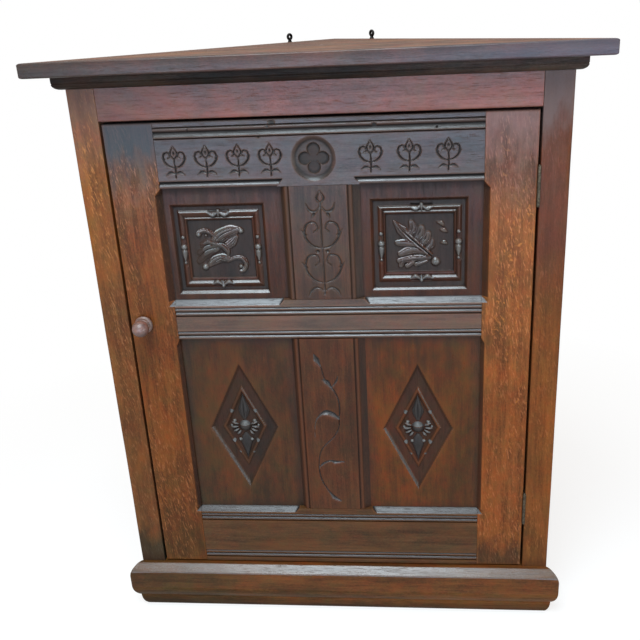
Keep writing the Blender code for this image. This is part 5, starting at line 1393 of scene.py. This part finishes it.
def lowerPanelMesh(node, centreX, centreZ):
    left, right, foot, head = panelOpening(node)
    middle = np.array([centreX * mm, centreZ * mm + ledgeZ])
    a, b = lozenge["halfWidth"], lozenge["halfHeight"]
    xs = rosetteStations(left, right, middle[0], lozenge["fineReach"][0])
    zs = rosetteStations(foot, head, middle[1], lozenge["fineReach"][1])
    gridX, gridZ = np.meshgrid(xs, zs)
    across, upward = gridX - middle[0], gridZ - middle[1]
    # distance in from the lozenge's edge: (1 - |x| / a - |z| / b) * a b / sqrt(a^2 + b^2)
    share = 1 - np.abs(across) / a - np.abs(upward) / b
    inset = share * a * b / math.hypot(a, b)
    band, floorDeep = lozenge["deep"], lozenge["floorDeep"]
    depth = np.interp(inset, (0, lozenge["bevel"], *lozenge["wall"]), (0, band, band, floorDeep))
    rim = np.clip(1 - ((inset - lozenge["rimAt"]) / lozenge["rimHalf"]) ** 2, 0, 1)
    depth -= lozenge["rimRise"] * np.sqrt(rim)
    rise, ribs, cut, pearl = np.zeros((4, *gridX.shape))

    def spots(points):
        return np.asarray(points, float).reshape(-1, 2) * mm + middle

    for stroke in petals:
        knots = np.array(stroke)
        raiseAlong(rise, xs, zs, spots(smoothPath(knots[:, :2], 48)), knots[:, 2], knots[:, 3])
    for hand in (-1, 1):
        for points, widths, deep in petalCuts:
            path = spots(smoothPath(np.asarray(points, float) * (hand, 1), 40))
            cutGroove(cut, xs, zs, path, widths, deep)
        for turn in np.radians(fan["turns"]):
            reach = np.linspace(fan["from"], fan["to"] - fan["shorter"] * abs(turn), 16)
            path = spots(np.stack([hand * reach * math.cos(turn), reach * math.sin(turn)], axis=-1))
            raiseAlong(ribs, xs, zs, path, fan["radius"], fan["height"])
    raiseAlong(rise, xs, zs, spots((0, 0)), lozenge["boss"], lozenge["bossHigh"], 1.0)
    carved = np.maximum(np.maximum(rise - cut, 0), ribs)
    depth = np.minimum(depth, np.where(carved > 0, floorDeep - carved, 1))
    # pearls stand on the edge of the band, whatever lies under them
    for x, z, radius in pearls:
        for hand in (-1, 1):
            raiseAlong(pearl, xs, zs, spots((hand * x, z)), radius, radius * lozenge["pearlHigh"], 1.0)
    depth = np.minimum(depth, np.where(pearl > 0, band + lozenge["pearlSeat"] - pearl, 1))
    shining = np.where(rise > 0, 2, 0)
    shining[ribs > rise] = 1
    # the upper side of the boss, which looks up at the skylight, gets the pale pearl finish: painted
    # highlight
    slope = np.gradient(depth, zs, axis=0)
    shining[(np.hypot(across, upward) < lozenge["boss"] * mm) & (slope > lozenge["bossLitSlope"])] = 3
    # two slopes that look to the right, the bevel at the lower left and the rim at the upper right, get a
    # greyer glossier finish: painted highlight
    bevel = (inset > 0) & (inset < lozenge["bevel"]) & (across < 0) & (upward < 0)
    fromRim = inset - lozenge["rimAt"] + lozenge["rimHalf"] / 2
    rimSlope = (np.abs(fromRim) < lozenge["rimHalf"] / 2) & (across > 0) & (upward > 0)
    shining[bevel | rimSlope] = 4
    shining[pearl > 0] = 3
    # old wax lies in the lozenge's band; the panel is darker along its edges
    fromEdge = np.minimum(np.minimum(gridX - left, right - gridX), np.minimum(gridZ - foot, head - gridZ))
    seed = 24 if "right" in node else 22
    waves = wobble(gridX + lozenge["edgeLean"] * gridZ, seed, lozenge["edgeWave"])
    uneven = 1 + lozenge["edgeUneven"] * waves
    grime = lozenge["edgeDarkening"] * np.clip(1 - fromEdge / (lozenge["edgeReach"] * uneven), 0, 1)
    grime = np.maximum(grime, lozenge["bandGrime"] * (inset > lozenge["bandFrom"]) * (shining != 4))
    bareFloor = (inset > lozenge["wall"][0]) & (carved <= 0) & (pearl <= 0)
    grime = np.maximum(grime, lozenge["floorGrime"] * bareFloor)
    depth += lozenge["face"]
    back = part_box(node)[1].y - faceY
    return boardMesh(node, xs, zs, depth, back, wear=lozenge["wear"], grime=grime, second=shining)


for word, x, z in (("left", -128.6, 231.8), ("right", 121.2, 229.5)):
    node = f"lower_{word}_panel"
    mesh = lowerPanelMesh(node, x, z)
    panelFinish = [oak[name] for name in (f"{word}Panel", "carvings", "leaves", "pearls", "highlightSlopes")]
    addPiece(f"lower_{word}_lozenge", mesh, panelFinish, "door", "carved_oak", node)
print("lower panels made")


# turned knob

knob = {
    "collar": 0.0125, "collarHeight": 0.0066, "neck": 0.0072, "neckHeight": 0.003, "neckHollow": 0.0009,
    "ball": 0.0113, "spindle": 0.004,
}
low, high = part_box("door_knob")
knobX, knobZ = (low.x + high.x) / 2, (low.z + high.z) / 2
rim = knob["collarHeight"] / 2
neckTop = knob["collarHeight"] + knob["neckHeight"]
ballAt = neckTop + math.sqrt(knob["ball"] ** 2 - knob["neck"] ** 2)
under = math.degrees(math.asin((neckTop - ballAt) / knob["ball"]))
neckAt = (neckTop + knob["collarHeight"]) / 2
hollow = knob["neckHollow"]
profile = np.concatenate([
    arcPoints((0, ballAt), (knob["ball"], knob["ball"]), 89.5, under, 20),
    arcPoints((knob["neck"] + hollow, neckAt), (-hollow, knob["neckHeight"] / 2), 80, -80, 6),
    arcPoints((knob["collar"] - rim, rim + seat), (rim, rim - seat), 90, -90, 12),
    [(knob["spindle"], seat), (knob["spindle"], faceY - high.y), (0.0002, faceY - high.y)],
])
mesh = turnedMesh("turnedKnob", profile, (knobX, faceY, knobZ), (0, -1, 0))
addPiece("turned_knob", mesh, oak["knobWood"], "latch", "turned_oak", "door_knob")
print("knob made")


# hinge screws: slotted heads, nearly flush with the leaves

screw = {
    "radius": 0.0021, "proud": 0.00014, "slot": 0.00034, "from": 0.0105, "stagger": 0.0022, "spacing": 0.0185,
    "fromPin": 0.0003, "sunk": 0.0002, "rim": 0.94, "domed": 0.3, "slotHigh": 0.25,
    "firstTurn": 0.7, "turnStep": 0.9,
}


def screwMesh(name, centre, outward, tilt):
    # disc of rings: a shallow dome, with a slot pressed across the middle
    share = np.concatenate([np.linspace(0.02, screw["rim"], 9), [1.0, 1.0]])[:, None]
    r = share * screw["radius"]
    angle = np.linspace(0, 2 * np.pi, 40, endpoint=False)
    across = r * np.sin(angle - tilt)
    lift = screw["proud"] * (1 - screw["domed"] * share ** 2) * np.ones_like(across)
    lift = np.where(np.abs(across) < screw["slot"], lift * screw["slotHigh"], lift)
    lift[-1] = -screw["sunk"]
    x = centre[0] + outward * lift
    y, z = centre[1] + r * np.cos(angle), centre[2] + r * np.sin(angle)
    return sweptMesh(name, np.stack([x, y, z], axis=-1), sharp=25)


count = 0
for hinge in ("upper", "lower"):
    pinLow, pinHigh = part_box(f"{hinge}_hinge_pin")
    for owner, outward, body in (("frame", -1, "carcass"), ("door", 1, "door")):
        low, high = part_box(f"{hinge}_hinge_{owner}_leaf")
        plane = (pinLow.x + pinHigh.x) / 2 - outward * screw["fromPin"]
        for k in range(3):
            stagger = -screw["stagger"] if k == 1 else screw["stagger"]
            height = (low.z + high.z) / 2 + (k - 1) * screw["spacing"]
            spot = (plane, faceY + screw["from"] + stagger, height)
            name = f"{hinge}_{owner}_screw_{k + 1}"
            tilt = screw["firstTurn"] + screw["turnStep"] * count
            addPiece(name, screwMesh(name, spot, outward, tilt), brass, body, "hinge_brass")
            count += 1
print("hinge screws made:", count)


# hanging eyes: a thick ring on a tapered neck

eye = {"ring": 0.0032, "wire": 0.0019, "neck": 0.0034, "waist": 0.0022, "clear": 0.0004, "sunk": 0.003}


def eyeMesh(name, node, along):
    # ring: centre + (R + r cos a) * direction + r sin a * across; the neck is turned about the upright
    low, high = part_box(node)
    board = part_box("top_board")[1].z
    around, sides, levels, spokes = 32, 16, 10, 20
    ringAt = high.z - eye["ring"] - eye["wire"] - eye["clear"]
    middle = np.array([(low.x + high.x) / 2, (low.y + high.y) / 2, ringAt])
    turn = np.linspace(0, 2 * np.pi, around + 1)[:, None, None]
    bend = np.linspace(0, 2 * np.pi, sides, endpoint=False)[None, :, None]
    along = np.array(along)
    across = np.array([-along[1], along[0], 0])
    outwards = np.cos(turn) * along + np.sin(turn) * np.array([0, 0, 1.0])
    ring = middle + (eye["ring"] + eye["wire"] * np.cos(bend)) * outwards
    ring = ring + eye["wire"] * np.sin(bend) * across
    heights = np.linspace(board - eye["sunk"], middle[2] - eye["ring"], levels)
    share = np.clip((heights - board) / (heights[-1] - board), 0, 1)
    radii = eye["waist"] + (eye["neck"] - eye["waist"]) * (1 - share) ** 2
    angle = np.linspace(0, 2 * np.pi, spokes, endpoint=False)
    circle = np.stack([np.cos(angle), np.sin(angle), np.zeros(spokes)], axis=-1)
    neck = np.array([middle[0], middle[1], 0]) + radii[:, None, None] * circle
    neck[:, :, 2] = heights[:, None]
    start = around * sides
    points = np.concatenate([ring[:-1].reshape(-1, 3), neck.reshape(-1, 3)])
    ringQuads = gridQuads(around + 1, sides, closed=True) % start
    quads = np.concatenate([ringQuads, gridQuads(levels, spokes, start, closed=True)])
    foot = start + np.arange(spokes)
    caps = [foot[::-1], foot + (levels - 1) * spokes]
    return meshFrom(name, points, quads, caps)


for word, hand in (("left", 1), ("right", -1)):
    node = f"{word}_hanging_eye"
    mesh = eyeMesh(f"{word}Eye", node, (math.sqrt(0.5), hand * math.sqrt(0.5), 0))
    addPiece(f"{word}_wall_eye", mesh, iron, "carcass", "dark_iron", node)
print("hanging eyes made")


# finishes of the nodes that stay as they are

kept = {
    "base_rail": oak["plinth"],
    "floor_board": oak["shelves"],
    "lower_shelf": oak["shelves"],
    "upper_shelf": oak["shelves"],
    "right_stop": oak["insideUp"],
    "left_stop_lower": oak["insideUp"],
    "left_stop_upper": oak["insideUp"],
    "latch_tongue": iron,
    "latch_screw": iron,
}
for word in ("left", "right"):
    for i in (1, 2, 3):
        kept[f"{word}_back_plank_{i}"] = oak[f"{word}Plank" + ("A" if i % 2 else "B")]
    for board in ("floor_board", "lower_shelf", "upper_shelf"):
        kept[f"{word}_{board}_bearer"] = oak["insideUp"]
for hinge in ("upper", "lower"):
    for part in ("frame_leaf", "door_leaf", "pin"):
        kept[f"{hinge}_hinge_{part}"] = brass
for name, material in kept.items():
    nodes[name].data.materials.clear()
    nodes[name].data.materials.append(material)
print("kept nodes finished:", len(kept))


# floor, light and camera

stageLook = {"floorHalf": 6.0, "shade": 0.30, "glow": 0.74, "clear": 1.1, "bounce": 0.3, "roomGlow": 0.45}
roomColour = (1.0, 0.80, 0.64)


def litRays(tree):
    # what kind a ray is, and 1 for those that come off polish or through glass
    rays = put(tree, "LightPath").outputs
    return rays, work(tree, "MAXIMUM", rays["Is Glossy Ray"], rays["Is Transmission Ray"])


def floorMaterial():
    # near the object the floor shows its shadow; further off it is plain white
    material = bpy.data.materials.new("paleFloor")
    material.use_nodes = True
    tree = material.node_tree
    tree.nodes.remove(tree.nodes["Principled BSDF"])
    rays, seen = litRays(tree)
    spot = put(tree, "TexCoord").outputs["Object"]
    away = put(tree, "VectorMath", {0: spot}, operation="LENGTH").outputs["Value"]
    far = ramp(tree, away, stageLook["clear"] * 0.5, stageLook["clear"])
    white = put(tree, "Emission", {"Color": (1, 1, 1, 1), "Strength": 1.0}).outputs[0]
    glow = put(tree, "Emission", {"Color": (1, 1, 1, 1), "Strength": stageLook["glow"]}).outputs[0]
    shade = put(tree, "BsdfDiffuse", {"Color": (stageLook["shade"],) * 3 + (1,)}).outputs[0]
    pale = put(tree, "AddShader", {0: glow, 1: shade}).outputs[0]
    dim = put(tree, "BsdfDiffuse", {"Color": (stageLook["bounce"],) * 3 + (1,)}).outputs[0]
    shown = put(tree, "MixShader", {0: far, 1: pale, 2: white}).outputs[0]
    inRoom = put(tree, "MixShader", {0: rays["Is Camera Ray"], 1: dim, 2: shown}).outputs[0]
    result = put(tree, "MixShader", {0: seen, 1: inRoom, 2: white}).outputs[0]
    tree.links.new(result, tree.nodes["Material Output"].inputs["Surface"])
    return material


half = stageLook["floorHalf"]
floorPoints = [(-half, -half, 0), (half, -half, 0), (half, half, 0), (-half, half, 0)]
floorMesh = bpy.data.meshes.new("floor")
floorMesh.from_pydata(floorPoints, [], [(0, 1, 2, 3)])
floorMesh.materials.append(floorMaterial())
floor = bpy.data.objects.new("floor", floorMesh)
bpy.context.scene.collection.objects.link(floor)

world = bpy.data.worlds.new("room")
bpy.context.scene.world = world
world.use_nodes = True
tree = world.node_tree
rays, seen = litRays(tree)
seen = work(tree, "MAXIMUM", seen, rays["Is Camera Ray"])
room = put(tree, "Background", {"Color": (*roomColour, 1), "Strength": stageLook["roomGlow"]}).outputs[0]
plain = put(tree, "Background", {"Color": (1, 1, 1, 1), "Strength": 1.0}).outputs[0]
mixed = put(tree, "MixShader", {0: seen, 1: room, 2: plain}).outputs[0]
tree.links.new(mixed, tree.nodes["World Output"].inputs["Surface"])

lamps = {
    "skylight": {
        "place": (-0.2, -1.25, 2.3), "aim": (-0.2, -1.0, 0.3), "size": (1.1, 1.4), "power": 60,
        "colour": (0.74, 0.90, 1.0),
    },
    "window": {
        "place": (-0.125, -2.6, 0.40), "aim": (-0.125, -0.14, 0.40), "size": (2.35, 0.78), "power": 31.4,
        "colour": (0.4, 0.68, 1.0),
    },
    "sideWindow": {
        "place": (1.75, -1.35, 0.45), "aim": (0, -0.14, 0.40), "size": (0.45, 0.9), "power": 10,
        "colour": (0.75, 0.9, 1.0),
    },
}
for name, lamp in lamps.items():
    light = bpy.data.lights.new(name, "AREA")
    light.shape = "RECTANGLE"
    light.size, light.size_y = lamp["size"]
    light.energy = lamp["power"]
    light.color = lamp["colour"]
    holder = bpy.data.objects.new(name, light)
    bpy.context.scene.collection.objects.link(holder)
    holder.location = lamp["place"]
    holder.rotation_euler = (Vector(lamp["aim"]) - Vector(lamp["place"])).to_track_quat("-Z", "Y").to_euler()

# camera: yaw to the right, pitch down and roll, as the photograph was taken
view = {
    "place": (0.11927, -1.1306, 0.87431), "yaw": -0.099, "pitch": 0.377, "roll": -0.048,
    "lens": 44.96, "shift": (-0.0339, 0.0039),
}
yaw, pitch, roll = view["yaw"], view["pitch"], view["roll"]
forward = Vector((math.sin(yaw) * math.cos(pitch), math.cos(yaw) * math.cos(pitch), -math.sin(pitch)))
level = Vector((math.cos(yaw), -math.sin(yaw), 0))
upward = level.cross(forward)
right = math.cos(roll) * level + math.sin(roll) * upward
up = -math.sin(roll) * level + math.cos(roll) * upward
lens = bpy.data.cameras.new("camera")
lens.sensor_width = 36
lens.lens = view["lens"]
lens.shift_x, lens.shift_y = view["shift"]
lens.clip_start = 0.01
camera = bpy.data.objects.new("camera", lens)
bpy.context.scene.collection.objects.link(camera)
camera.matrix_world = Matrix.Translation(view["place"]) @ Matrix((right, up, -forward)).transposed().to_4x4()
bpy.context.scene.camera = camera
bpy.context.scene.view_settings.view_transform = "Standard"
print("stage, light and camera set")
